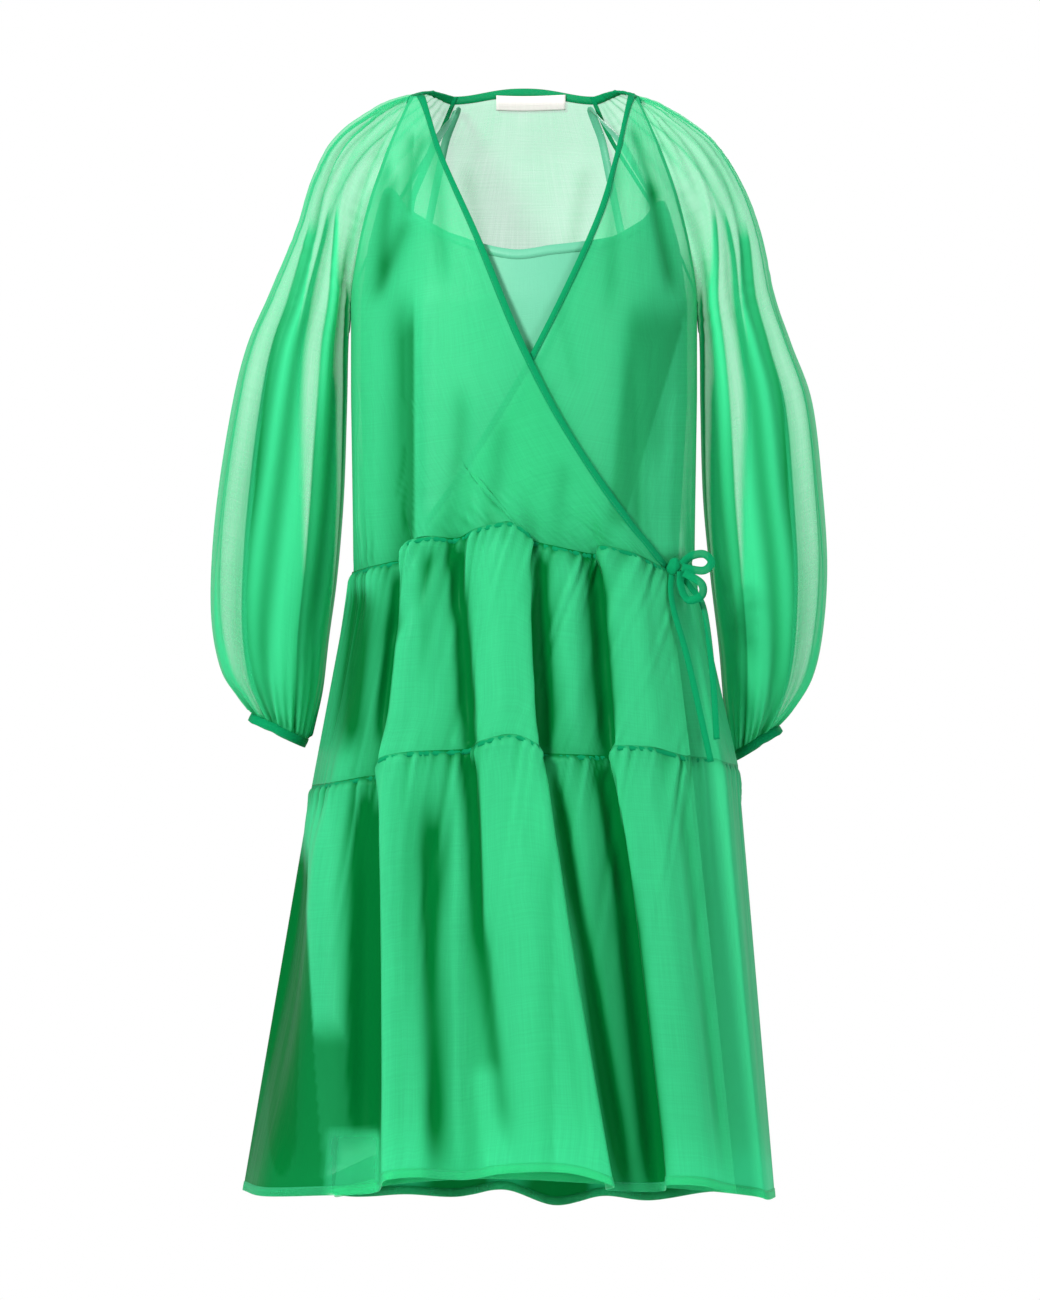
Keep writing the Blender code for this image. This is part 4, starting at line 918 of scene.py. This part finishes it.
def sleeve_grid(side_name, wearer_side, tube, seed):
    """The sleeve's cloth, from the neck down to the cuff. From the underarm on it is a tube."""
    front, back = raglan_points("front", wearer_side), raglan_points("back", wearer_side)
    tips = np.stack([SLEEVE_HEAD[key] for key in (side_name + "_tip_x", "tip_y", "tip_z")], axis=-1)
    rows = [
        sleeve_row(front[k], back[k], tips[k], SLEEVE_HEAD["fullness"][k], SLEEVE_HEAD["roundness"][k])
        for k in range(len(tips))
    ]
    for k in range(len(tube["in_x"])):
        inner = np.array([tube["in_x"][k], tube["middle_y"][k], tube["in_z"][k]])
        outer = np.array([tube["out_x"][k], tube["middle_y"][k], tube["out_z"][k]])
        rows.append(sleeve_row(inner, inner, outer, tube["half_depth"][k], 2.0))
    grid = finer(np.stack(rows), SLEEVE_FINER, SLEEVE_FINER)
    closed = (len(tips) - 1) * SLEEVE_FINER
    grid[closed:, -1] = grid[closed:, 0]
    out = -faces_out(grid, wearer_side)
    ring = grid[closed:, :-1]
    round_about = np.roll(ring, -1, axis=1) - np.roll(ring, 1, axis=1)
    round_and_down = np.cross(round_about, np.gradient(grid[:, :-1], axis=0)[closed:])
    out[closed:, :-1] = -unit(round_and_down * wearer_side)
    out[closed:, -1] = out[closed:, 0]
    below, along = lengths_along(grid, 0), lengths_along(grid, 1)
    share = np.linspace(0, 1, grid.shape[1])[None]
    down = below / below[-1:]
    from_seam = np.minimum(share, 1 - share) * along[:, -1:]
    tube_like = soft((np.arange(len(grid))[:, None] - closed) / 12.0)
    at_seam = soft(from_seam / SEAM_EASE) * (1 - tube_like) + tube_like
    wave = np.zeros(grid.shape[:2])
    for place, drift, top, bottom, width, height in zip(*SLEEVE_FOLDS.values()):
        gap = np.abs((share - place - drift * down + 0.5) % 1.0 - 0.5)
        fades = soft((down - top + 0.1) / 0.3) * soft((bottom - down) / 0.2)
        wave += FOLD_HEIGHT * height * MM * np.exp(-((gap / width) ** 2)) * fades
    radial = share * 2 * np.pi
    head = np.sin(13 * radial + seed) + 0.7 * np.sin(9 * radial + 1.3 * seed) + 0.5 * np.sin(5 * radial)
    wave += HEAD_WAVE * head * np.exp(-(((down - 0.10) / 0.12) ** 2)) * soft(down / 0.03)
    cuff = np.sin(29 * radial + seed) + 0.8 * np.sin(17 * radial + 0.6) + 0.5 * np.sin(9 * radial + seed)
    to_cuff = below[-1:] - below
    wave += CUFF_WAVE * cuff * np.exp(-to_cuff / 0.045) * soft(to_cuff / 0.006)
    wave += gathered(from_seam * 0 + below, from_seam, 0.45, seed) * (1 - tube_like)
    grid = grid + out * (wave * at_seam)[..., None]
    grid[closed:, -1] = grid[closed:, 0]
    doubled, shade = folded_bands(share, down)
    # Painted shade: beside the bands' crisp folds, in the folds' troughs, and near the cuff.
    painted_shade = 0.7 * shade + 0.05 * doubled - wave / DARK_SLEEVE_WAVE + 0.4 * np.exp(-to_cuff / 0.015) - 0.05
    gathers = 0.25 * np.exp(-below / 0.04) * (1 - tube_like)
    at_cuff = np.exp(-((to_cuff / 0.05) ** 2)) * soft(to_cuff / 0.004)
    gathers = gathers + 0.8 * soft(0.5 + 0.8 * cuff) * at_cuff
    return grid, out, np.clip(painted_shade, 0.0, 1.0), doubled + gathers, closed


right_grid, right_out, painted_shading, doubled, tube_from = sleeve_grid("right", -1, RIGHT_SLEEVE, 0.7)
sleeve_right = lay_cloth("sleeve_right_cloth", right_grid, ORGANZA, painted_shading, doubled, tube_from)
left_grid, left_out, painted_shading, doubled, tube_from = sleeve_grid("left", 1, LEFT_SLEEVE, 2.2)
sleeve_left = lay_cloth("sleeve_left_cloth", left_grid, ORGANZA, painted_shading, doubled, tube_from)
clothed(sleeve_right, "sleeve_right")
clothed(sleeve_left, "sleeve_left")

# ---------------------------------------------------------------------------------------------
# The bindings: narrow bias strips of the same organza, folded over the raw edges of the neck
# and wrap and of the cuffs, and the hems, turned up once. Folded cloth lies three or four deep,
# so the strips are darker.
# ---------------------------------------------------------------------------------------------


def select_alone(piece):
    bpy.ops.object.select_all(action="DESELECT")
    piece.select_set(True)
    bpy.context.view_layer.objects.active = piece


def fold_band(name, edge, into, out, width, thickness, material, closed=False):
    """A strip folded over an edge: into points along the cloth away from the edge, out off its face."""
    reach = width / thickness
    section = [(-0.35, 0.0), (-0.2, 0.75), (0.1, 1.0), (0.5 * reach, 1.1), (reach, 0.9)]
    section += [(s, -t) for s, t in reversed(section[1:])]
    ring = np.array(section) * thickness
    grid = edge[:, None] + into[:, None] * ring[None, :, :1] + out[:, None] * ring[None, :, 1:]
    rows, around = grid.shape[:2]
    index = np.arange(rows * around).reshape(rows, around)
    if closed:
        index = np.vstack([index[:-1], index[:1]])
    nexts = np.roll(index, -1, axis=1)
    faces = np.stack([index[:-1], index[1:], nexts[1:], nexts[:-1]], axis=-1).reshape(-1, 4).tolist()
    if not closed:
        faces += [index[0].tolist(), index[-1][::-1].tolist()]
    mesh = bpy.data.meshes.new(name)
    mesh.from_pydata(grid.reshape(-1, 3).tolist(), [], faces)
    layer = mesh.uv_layers.new(name="cut")
    far = lengths_along(edge[:, None], 0)[:, 0]
    wide = np.cumsum(np.linalg.norm(np.roll(ring, -1, axis=0) - ring, axis=1))
    places = np.stack(np.broadcast_arrays(wide[None], far[:, None]), axis=-1).reshape(-1, 2)
    corner = np.empty(len(mesh.loops), int)
    mesh.loops.foreach_get("vertex_index", corner)
    layer.data.foreach_set("uv", places[corner].ravel())
    mesh.shade_smooth()
    made = in_scene(mesh, material)
    select_alone(made)
    bpy.ops.object.mode_set(mode="EDIT")
    bpy.ops.mesh.select_all(action="SELECT")
    bpy.ops.mesh.normals_make_consistent(inside=False)
    bpy.ops.object.mode_set(mode="OBJECT")
    return made


def along_cloth(line, beside):
    return unit(beside - line)


BINDING_WIDTH = 0.0085
BINDING_THICKNESS = 0.0011
# Each edge as its line, a line on the cloth beside it, and the way out of the cloth.
neck_edges = {
    "over": (over_front_grid[:, -1], over_front_grid[:, -3], over_front_out[:, -1]),
    "under": (under_front_grid[:, -1], under_front_grid[:, -3], under_front_out[:, -1]),
    "back": (
        np.concatenate([right_grid[0], back_grid[0, 1:-1], left_grid[0, ::-1]]),
        np.concatenate([right_grid[SLEEVE_FINER], back_grid[FINER, 1:-1], left_grid[SLEEVE_FINER, ::-1]]),
        np.concatenate([right_out[0], back_out[0, 1:-1], left_out[0, ::-1]]),
    ),
}
for panel, (edge, beside, out) in neck_edges.items():
    piece = fold_band(
        "neck_binding_" + panel + "_fold", edge, along_cloth(edge, beside), out,
        BINDING_WIDTH, BINDING_THICKNESS, ORGANZA_FOLDED,
    )
    dressed(piece, "neck_binding_" + panel)

CUFF_WIDTH = 0.009
CUFF_THICKNESS = 0.0010


def cuff_band(name, grid):
    """A bound band below the sleeve's last row, square to the sleeve's end."""
    last = grid[-1]
    centre = last[:-1].mean(axis=0)
    quarter = (len(last) - 1) // 4
    down = np.cross(last[quarter] - centre, last[0] - centre)
    down = unit(down * -np.sign(down[2]))
    edge = last + down * CUFF_WIDTH
    return fold_band(
        name, edge, np.broadcast_to(-down, edge.shape), unit(last - centre), CUFF_WIDTH, CUFF_THICKNESS,
        ORGANZA_FOLDED, closed=True,
    )


dressed(cuff_band("cuff_right_fold", right_grid), "cuff_right")
dressed(cuff_band("cuff_left_fold", left_grid), "cuff_left")

HEM_WIDTH = 0.009
HEM_THICKNESS = 0.0006
tiers = {
    "over": ((over_waist_grid, over_waist_out), (over_hem_grid, over_hem_out)),
    "under": ((under_waist_grid, under_waist_out), (under_hem_grid, under_hem_out)),
    "back": ((back_waist_grid, back_waist_out), (back_hem_grid, back_hem_out)),
}
hem_edges = {panel: (grid[-1], grid[-4], out[-1]) for panel, (_, (grid, out)) in tiers.items()}
for panel, (edge, beside, out) in hem_edges.items():
    hem = fold_band(
        "hem_" + panel + "_fold", edge, along_cloth(edge, beside), out, HEM_WIDTH, HEM_THICKNESS, ORGANZA
    )
    dressed(hem)

# ---------------------------------------------------------------------------------------------
# The machine stitches that hold the bindings and hems: rows of short bars of twisted thread,
# in the cloth's own green.
# ---------------------------------------------------------------------------------------------

THREAD = bpy.data.materials.new("sewing_thread")
THREAD.use_nodes = True
tree = THREAD.node_tree
place = add_node(tree, "TexCoord").outputs["Object"]
twist = add_node(tree, "TexWave", {"Vector": place, "Scale": 900.0, "Distortion": 2.0}).outputs["Fac"]
twisted = mixed(tree, twist, (0.004, 0.22, 0.08), (0.020, 0.42, 0.18))
tree.links.new(twisted, tree.nodes["Principled BSDF"].inputs["Base Color"])
tree.nodes["Principled BSDF"].inputs["Roughness"].default_value = 0.5
STITCH_PITCH = 0.0034
STITCH_LENGTH = 0.0022
STITCH_HALF_WIDTH = 0.00018


def stitches(name, line, out):
    """A row of machine stitches: short rounded bars of thread just proud of the cloth."""
    far = lengths_along(line[:, None], 0)[:, 0]
    starts = np.arange(STITCH_PITCH, far[-1] - STITCH_PITCH, STITCH_PITCH)
    ends = [
        np.stack([np.interp(starts + shift, far, axis) for axis in line.T], axis=-1)
        for shift in (0.0, STITCH_LENGTH)
    ]
    up = unit(np.stack([np.interp(starts, far, axis) for axis in out.T], axis=-1))
    along = unit(ends[1] - ends[0])
    side = np.cross(along, up)
    ring = [side + 0.2 * up, 0.4 * side + up, -0.4 * side + up, -side + 0.2 * up]
    points = np.stack([end + step * STITCH_HALF_WIDTH for end in ends for step in ring], axis=1)
    faces = [(0, 1, 5, 4), (1, 2, 6, 5), (2, 3, 7, 6), (3, 0, 4, 7), (3, 2, 1, 0), (4, 5, 6, 7)]
    faces = (np.arange(len(starts))[:, None, None] * 8 + np.array(faces)[None]).reshape(-1, 4)
    mesh = bpy.data.meshes.new(name)
    mesh.from_pydata(points.reshape(-1, 3).tolist(), [], faces.tolist())
    dressed(in_scene(mesh, THREAD))


# How far each row of stitches is in from its edge, and how far out of the cloth.
for kind, edges, inset, lift in (
    ("neck_stitches_", neck_edges, 0.0070, 0.0012),
    ("hem_stitches_", hem_edges, 0.0078, 0.0006),
):
    for panel, (edge, beside, out) in edges.items():
        stitches(kind + panel, edge + along_cloth(edge, beside) * inset + out * lift, out)

# ---------------------------------------------------------------------------------------------
# The seam allowances: the cut edges of two joined pieces of organza, pressed together inside the
# dress and seen through the cloth as darker lines.
# ---------------------------------------------------------------------------------------------

ALLOWANCE = 0.0045
GATHERED_ALLOWANCE = 0.0055
ALLOWANCE_THICKNESS = 0.0005
ALLOWANCE_DEPTH = 0.0007


def seam_fold(name, line, beside, out, width=ALLOWANCE):
    """Both allowances of a seam, along its line on the inner face of the cloth."""
    edge = line - out * ALLOWANCE_DEPTH
    into = along_cloth(line, beside)
    folded = fold_band(name, edge, into, out, width, ALLOWANCE_THICKNESS, ORGANZA_FOLDED)
    dressed(folded)


for panel, panel_tiers in tiers.items():
    for seam, (grid, out) in zip(("waist_seam_", "tier_seam_"), panel_tiers):
        seam_fold(seam + panel, grid[0], grid[3], out[0], GATHERED_ALLOWANCE)
for side_name, bodice_front, panel in (
    ("right", (over_front_grid, over_front_out), "over"),
    ("left", (under_front_grid, under_front_out), "under"),
):
    parts = ("raglan_and_side", "waist_tier_side", "hem_tier_side")
    for part_name, (grid, out) in zip(parts, (bodice_front, *tiers[panel])):
        seam_fold(side_name + "_" + part_name + "_seam", grid[:, 0], grid[:, 2], out[:, 2])
raglan_end = (len(RAGLAN["back_x"]) - 1) * FINER + 1
raglan_grid, raglan_out = back_grid[:raglan_end], back_out[:raglan_end]
for side_name, edge, beside in (("right", 0, 2), ("left", -1, -3)):
    seam_fold(
        side_name + "_back_raglan_seam", raglan_grid[:, edge], raglan_grid[:, beside], raglan_out[:, beside]
    )
for side_name, grid, out in (("right", right_grid, right_out), ("left", left_grid, left_out)):
    tube_grid, tube_out = grid[tube_from:], out[tube_from:]
    seam_fold(side_name + "_sleeve_seam", tube_grid[:, 0], tube_grid[:, 2], tube_out[:, 0])

# ---------------------------------------------------------------------------------------------
# The slip: an opaque mint satin shift, narrower than the dress, with a bound neckline and two
# thin straps that are caught inside the back neck.
# ---------------------------------------------------------------------------------------------


def satin(name, colour, roughness):
    """Close shiny cloth, with a faint weave in its colour and its face."""
    made = bpy.data.materials.new(name)
    made.use_nodes = True
    tree = made.node_tree
    cut = add_node(tree, "UVMap", uv_map="cut").outputs[0]
    warp = uneven_yarns(tree, cut, 1500.0, 40.0, 2.0)
    weft = uneven_yarns(tree, cut, 35.0, 1300.0, 2.0)
    slubs = uneven_yarns(tree, cut, 20.0, 9.0, 2.0)
    darker, lighter = [c * 0.93 for c in colour], [min(1.0, c * 1.07) for c in colour]
    height = add_node(tree, "Math", {0: weft, 1: slubs}, operation="ADD").outputs[0]
    bump = add_node(tree, "Bump", {"Strength": 0.25, "Distance": 0.0008, "Height": height}).outputs[0]
    shader = tree.nodes["Principled BSDF"]
    shader.inputs["Roughness"].default_value = roughness
    shader.inputs["Sheen Weight"].default_value = 0.15
    tree.links.new(mixed(tree, warp, darker, lighter), shader.inputs["Base Color"])
    tree.links.new(bump, shader.inputs["Normal"])
    return made


SATIN = satin("slip_satin", (0.095, 0.41, 0.25), 0.46)
# The slip's own form, level by level.
SLIP_FORM = table(
    "level right_x left_x front_depth back_depth",
    (-1.100, -0.266, 0.236, 0.126, 0.168),
    (-0.690, -0.196, 0.198, 0.116, 0.142),
    (-0.480, -0.157, 0.153, 0.110, 0.107),
    (-0.300, -0.163, 0.163, 0.113, 0.106),
    (-0.205, -0.163, 0.163, 0.112, 0.106),
    (-0.150, -0.161, 0.161, 0.102, 0.106),
    (-0.090, -0.153, 0.153, 0.078, 0.099),
    (-0.060, -0.144, 0.144, 0.058, 0.092),
)
# Its top and hem, by their place across from -1 at the wearer's right side to 1 at the left.
SLIP_TOPS = table(
    "place front_z back_z",
    (-1.00, -0.212, -0.212),
    (-0.96, -0.150, -0.205),
    (-0.90, -0.095, -0.200),
    (-0.72, -0.118, -0.215),
    (-0.46, -0.142, -0.232),
    (-0.09, -0.159, -0.240),
    (0.16, -0.155, -0.240),
    (0.54, -0.146, -0.232),
    (0.74, -0.128, -0.215),
    (0.90, -0.108, -0.200),
    (0.96, -0.155, -0.205),
    (1.00, -0.212, -0.212),
)
SLIP_HEMS = table(
    "place front_z back_z",
    (-1.00, -1.080, -1.080),
    (-0.72, -1.070, -1.075),
    (-0.40, -1.030, -1.065),
    (0.40, -1.030, -1.065),
    (1.00, -1.068, -1.068),
)
# The soft falls of its skirt, in the same places across. Their heights are in millimetres.
SLIP_FALLS = table(
    "place width height",
    (-0.80, 0.07, 3.0),
    (-0.52, 0.10, -3.5),
    (-0.20, 0.09, 3.0),
    (0.12, 0.11, -3.5),
    (0.40, 0.08, 3.0),
    (0.70, 0.09, -3.0),
)


def slip_points(places, levels, side):
    """Points of the slip at shares of the way across and at levels."""
    right = np.interp(levels, SLIP_FORM["level"], SLIP_FORM["right_x"])
    left = np.interp(levels, SLIP_FORM["level"], SLIP_FORM["left_x"])
    depth = np.interp(levels, SLIP_FORM["level"], SLIP_FORM["front_depth" if side < 0 else "back_depth"])
    x = (right + left) / 2 + (left - right) / 2 * places
    hang = soft((-0.45 - levels) / 0.5)
    falls = 0
    for place, width, height in zip(*SLIP_FALLS.values()):
        falls = falls + height * MM * np.exp(-(((places - place) / width) ** 2))
    y = side * (depth * (1 - np.abs(places) ** OVAL) ** (1 / OVAL) + falls * hang * (1 - places**8))
    return np.stack([x, y, levels + 0 * x], axis=-1)


SLIP_ACROSS = 121
SLIP_DOWN = 101


def slip_grid(side):
    which = "front_z" if side < 0 else "back_z"
    places = np.sin(np.linspace(-np.pi / 2, np.pi / 2, SLIP_ACROSS))
    places[[0, -1]] = [-1.0, 1.0]
    numbered = np.arange(len(SLIP_TOPS["place"]))
    top = curve_at(SLIP_TOPS[which], np.interp(places, SLIP_TOPS["place"], numbered))
    hem = np.interp(places, SLIP_HEMS["place"], SLIP_HEMS[which])
    levels = top + (hem - top) * np.linspace(0, 1, SLIP_DOWN)[:, None]
    grid = slip_points(np.broadcast_to(places, levels.shape), levels, side)
    return grid, level_out(grid, side)


def padded_shell(name, grid, thickness, material):
    """A thin closed shell of cloth from rows of points."""
    made = lay_cloth(name, grid, material)
    select_alone(made)
    solid = made.modifiers.new("thickness", "SOLIDIFY")
    solid.thickness = thickness
    solid.offset = 0.0
    bpy.ops.object.modifier_apply(modifier="thickness")
    return made


SATIN_THICKNESS = 0.0006
SLIP_BINDING_WIDTH = 0.0095
slip_front_grid, slip_front_out = slip_grid(FRONT)
slip_back_grid, slip_back_out = slip_grid(BACK)
slip_front = padded_shell("slip_front_cloth", slip_front_grid, SATIN_THICKNESS, SATIN)
slip_back = padded_shell("slip_back_cloth", slip_back_grid, SATIN_THICKNESS, SATIN)
# The binding runs over the front's columns between the straps.
bound = slice(18, 103)
bound_edge = slip_front_grid[0, bound]
slip_binding = fold_band(
    "slip_binding_fold", bound_edge, along_cloth(bound_edge, slip_front_grid[2, bound]),
    slip_front_out[0, bound], SLIP_BINDING_WIDTH, BINDING_THICKNESS, SATIN,
)
clothed(slip_front, "slip_front")
clothed(slip_back, "slip_back")
dressed(slip_binding, "slip_neck_binding")


def evenly(points, count):
    """A run of points at even steps along straight stretches, with its corners softened."""
    far = lengths_along(points[:, None, :3], 0)[:, 0]
    line = np.stack([np.interp(np.linspace(0, far[-1], count), far, axis) for axis in points.T], axis=-1)
    for _ in range(4):
        line[1:-1] = (line[:-2] + 2 * line[1:-1] + line[2:]) / 4
    return line


def ribbon(name, line, face, width, thickness, material):
    """A flat ribbon with rounded edges along a line. face is the way its flat side looks."""
    along = unit(np.gradient(line, axis=0))
    face = unit(face - along * np.sum(face * along, axis=1, keepdims=True))
    across = np.cross(along, face)
    edge = line - across * width / 2
    return fold_band(name, edge, across, face, width, thickness / 2, material)


STRAP_WIDTH = 0.008
STRAP_THICKNESS = 0.0012
# How far a strap's middle lies off the cloth, at the front and neck and at the back, and how far it laps.
STRAP_OFF = 0.0022
STRAP_OFF_BACK = 0.0014
STRAP_LAP = 0.012
# Columns across the slip from which the straps' places are counted.
SLIP_COLUMNS = 20


def slip_spot(side, column, below):
    """A point near the slip's top edge, one of its solid's columns across, and the way out of it."""
    grid, out = (slip_front_grid, slip_front_out) if side < 0 else (slip_back_grid, slip_back_out)
    fine = column * (grid.shape[1] - 1) // SLIP_COLUMNS
    return grid[0, fine] + unit(grid[2, fine] - grid[0, fine]) * below, out[0, fine]


def strap(name, front, back, neck):
    """From the slip's front binding up to the back neck, where it is caught, and down to the back."""
    lap, front_out = slip_spot(FRONT, front, STRAP_LAP)
    over, _ = slip_spot(FRONT, front, -STRAP_LAP)
    at_back, back_spot_out = slip_spot(BACK, back, 0.0)
    back_lap, _ = slip_spot(BACK, back, STRAP_LAP)
    caught, caught_out = back_grid[FINER, neck], back_out[FINER, neck]
    low, low_out = back_grid[2 * FINER, neck], back_out[2 * FINER, neck]
    path = np.stack([
        lap + front_out * STRAP_OFF,
        over + front_out * STRAP_OFF,
        (over + caught) / 2 + np.array([0.0, -0.012, 0.010]),
        caught - caught_out * STRAP_OFF,
        low - low_out * STRAP_OFF,
        at_back + back_spot_out * STRAP_OFF_BACK,
        back_lap + back_spot_out * STRAP_OFF_BACK,
    ])
    up_and_forward = [0.0, -0.6, 0.8]
    faces = [front_out, front_out, up_and_forward, caught_out, low_out, back_spot_out, back_spot_out]
    line = evenly(np.concatenate([path, faces], axis=1), 90)
    return ribbon(name, line[:, :3], line[:, 3:], STRAP_WIDTH, STRAP_THICKNESS, SATIN)


waist_columns = back_grid.shape[1] - 1
for side_name, front, back, neck in (
    ("right", 5, 5, round(waist_columns * 0.07)),
    ("left", SLIP_COLUMNS - 4, SLIP_COLUMNS - 5, round(waist_columns * 0.93)),
):
    piece = strap("slip_strap_" + side_name + "_ribbon", front, back, neck)
    dressed(piece, "slip_strap_" + side_name)

# ---------------------------------------------------------------------------------------------
# The ribbon tie at the wearer's left of the waist: bias ribbon of the same organza, tied in a
# small bow with two loops and two ends that hang down over the skirt.
# ---------------------------------------------------------------------------------------------

knot_place = over_front_grid[-1, -1] - np.array([0.0, 0.0, 0.002]) + over_front_out[-1, -1] * 0.0073
# Each stretch of the bow as steps from the knot's middle, in millimetres.
TIE_STRETCHES = {
    "tie_loop_upper": ((8, 0, 2), (17, -2, 10), (30, -3, 12), (37, -5, 4), (29, -7, -4), (8, -7, -1)),
    "tie_loop_lower": (
        (7, -2.4, -5), (7, -5, -20), (14, -9, -33), (27, -11, -29), (27, -12, -17), (10, -10, -6),
    ),
    "tie_tail_long": ((-1.5, 0.9, -6.9), (-3, -8, -22), (0, -13, -44), (14, -17, -94), (36, -24, -192)),
    "tie_tail_short": ((4.9, 1.2, -5.2), (18, 4, -22), (30, 2, -42), (38, -5, -105), (42, -12, -170)),
}
RIBBON_WIDTH = 0.006
LOOP_WIDTH = 0.0078
RIBBON_THICKNESS = 0.0010
RIBBON_POINTS = 81
for node, steps in TIE_STRETCHES.items():
    path = knot_place + np.array(steps) * MM
    line = curve_at(path, np.linspace(0, len(path) - 1, RIBBON_POINTS))
    turning = 0.25 * np.sin(np.linspace(0, 5, RIBBON_POINTS))[:, None]
    face = np.array([0.3, -1.0, 0.1]) + turning * np.array([1.0, 0.3, 0.0])
    wide = RIBBON_WIDTH if "tail" in node else LOOP_WIDTH
    piece = ribbon(node + "_ribbon", line, face, wide, RIBBON_THICKNESS, ORGANZA_FOLDED)
    dressed(piece, node)

bpy.ops.object.select_all(action="DESELECT")
bpy.ops.mesh.primitive_uv_sphere_add(segments=32, ring_count=18, radius=1.0, location=(0, 0, 0))
knot = bpy.context.object
knot.name = "tie_knot_ribbon"
for vertex in knot.data.vertices:
    x, y, z = vertex.co
    pinch = 1.0 + 0.10 * math.cos(4.0 * z + 1.0) * (1 - z * z) + 0.06 * math.sin(7.0 * x)
    spot = np.array([x * 0.0066 * pinch + 0.0015 * z, y * 0.0050 * pinch, z * 0.0088]) + knot_place
    vertex.co = spot.tolist()
knot.data.uv_layers[0].name = "cut"
for corner in knot.data.uv_layers["cut"].data:
    corner.uv = (corner.uv[0] * 0.04, corner.uv[1] * 0.02)
knot.data.shade_smooth()
knot.data.materials.append(ORGANZA_FOLDED)
dressed(knot, "tie_knot")

# ---------------------------------------------------------------------------------------------
# The blank label inside the back neck: a short piece of woven tape, sewn along its top under
# the neck binding.
# ---------------------------------------------------------------------------------------------

LABEL_MIDDLE = 0.007
LABEL_HALF_WIDTH = 0.035
LABEL_TOP = 0.008
LABEL_HEIGHT = 0.015
LABEL_THICKNESS = 0.0008
# How far in front of the back neck's cloth it lies.
LABEL_OFF = 0.0034
LABEL_TAPE = satin("label_tape", (0.74, 0.67, 0.66), 0.55)
label_x = LABEL_MIDDLE + np.linspace(-LABEL_HALF_WIDTH, LABEL_HALF_WIDTH, 29)
label_rows = np.linspace(0, LABEL_HEIGHT, 9)[:, None]
label_levels = LABEL_TOP - label_rows - 0.0006 * np.cos(label_x * 60.0)
label_turns = form_turn(np.broadcast_to(label_x, label_levels.shape), label_levels)
label_grid = form_point(label_turns, label_levels, BACK) - np.array([0.0, LABEL_OFF, 0.0])
label = padded_shell("label_tape_blank", label_grid, LABEL_THICKNESS, LABEL_TAPE)
dressed(label, "label_blank")

# ---------------------------------------------------------------------------------------------
# The stage: a plain pale floor, a white studio and three large soft lamps. The camera stands
# level with the middle of the dress, six metres away. Nothing here is part of the dress.
# ---------------------------------------------------------------------------------------------

bpy.ops.object.select_all(action="DESELECT")
bpy.ops.mesh.primitive_circle_add(vertices=96, radius=1.3, fill_type="NGON", location=(0, 0, -1.5))
floor = bpy.context.object
floor.name = "studio_floor"
pale = bpy.data.materials.new("studio_floor")
pale.use_nodes = True
pale.node_tree.nodes["Principled BSDF"].inputs["Base Color"].default_value = (0.9, 0.9, 0.9, 1.0)
pale.node_tree.nodes["Principled BSDF"].inputs["Roughness"].default_value = 0.8
floor.data.materials.append(pale)

world = bpy.data.worlds.new("studio")
world.use_nodes = True
walls = world.node_tree.nodes
seen = walls.new("ShaderNodeLightPath")
brightness = walls.new("ShaderNodeMapRange")
brightness.inputs["To Min"].default_value = 0.50
brightness.inputs["To Max"].default_value = 1.0
walls["Background"].inputs[0].default_value = (1.0, 1.0, 1.0, 1.0)
world.node_tree.links.new(seen.outputs["Is Camera Ray"], brightness.inputs["Value"])
world.node_tree.links.new(brightness.outputs[0], walls["Background"].inputs[1])
bpy.context.scene.world = world
lit_spot = np.array([0.0, 0.0, -0.45])
for lamp_name, place, size, power in (
    ("key", (-1.9, -3.4, 1.2), 0.8, 205.0),
    ("fill", (2.4, -3.0, 0.0), 1.4, 40.0),
    ("behind", (1.2, 3.0, 1.4), 1.4, 60.0),
):
    bpy.ops.object.light_add(type="AREA", location=place)
    lamp = bpy.context.object
    lamp.name = lamp_name
    lamp.data.size = size
    lamp.data.energy = power
    toward = lit_spot - np.array(place)
    lamp.rotation_euler = (
        math.acos(-toward[2] / np.linalg.norm(toward)), 0.0, math.atan2(-toward[0], toward[1])
    )

camera_data = bpy.data.cameras.new("camera")
camera = bpy.data.objects.new("camera", camera_data)
bpy.context.scene.collection.objects.link(camera)
camera.location = (-0.004, -6.0, -0.553)
camera.rotation_euler = (math.radians(90), 0, 0)
camera_data.lens = 166.15
camera_data.sensor_width = 36.0
camera_data.clip_end = 60.0
bpy.context.scene.camera = camera
bpy.context.scene.view_settings.view_transform = "Standard"
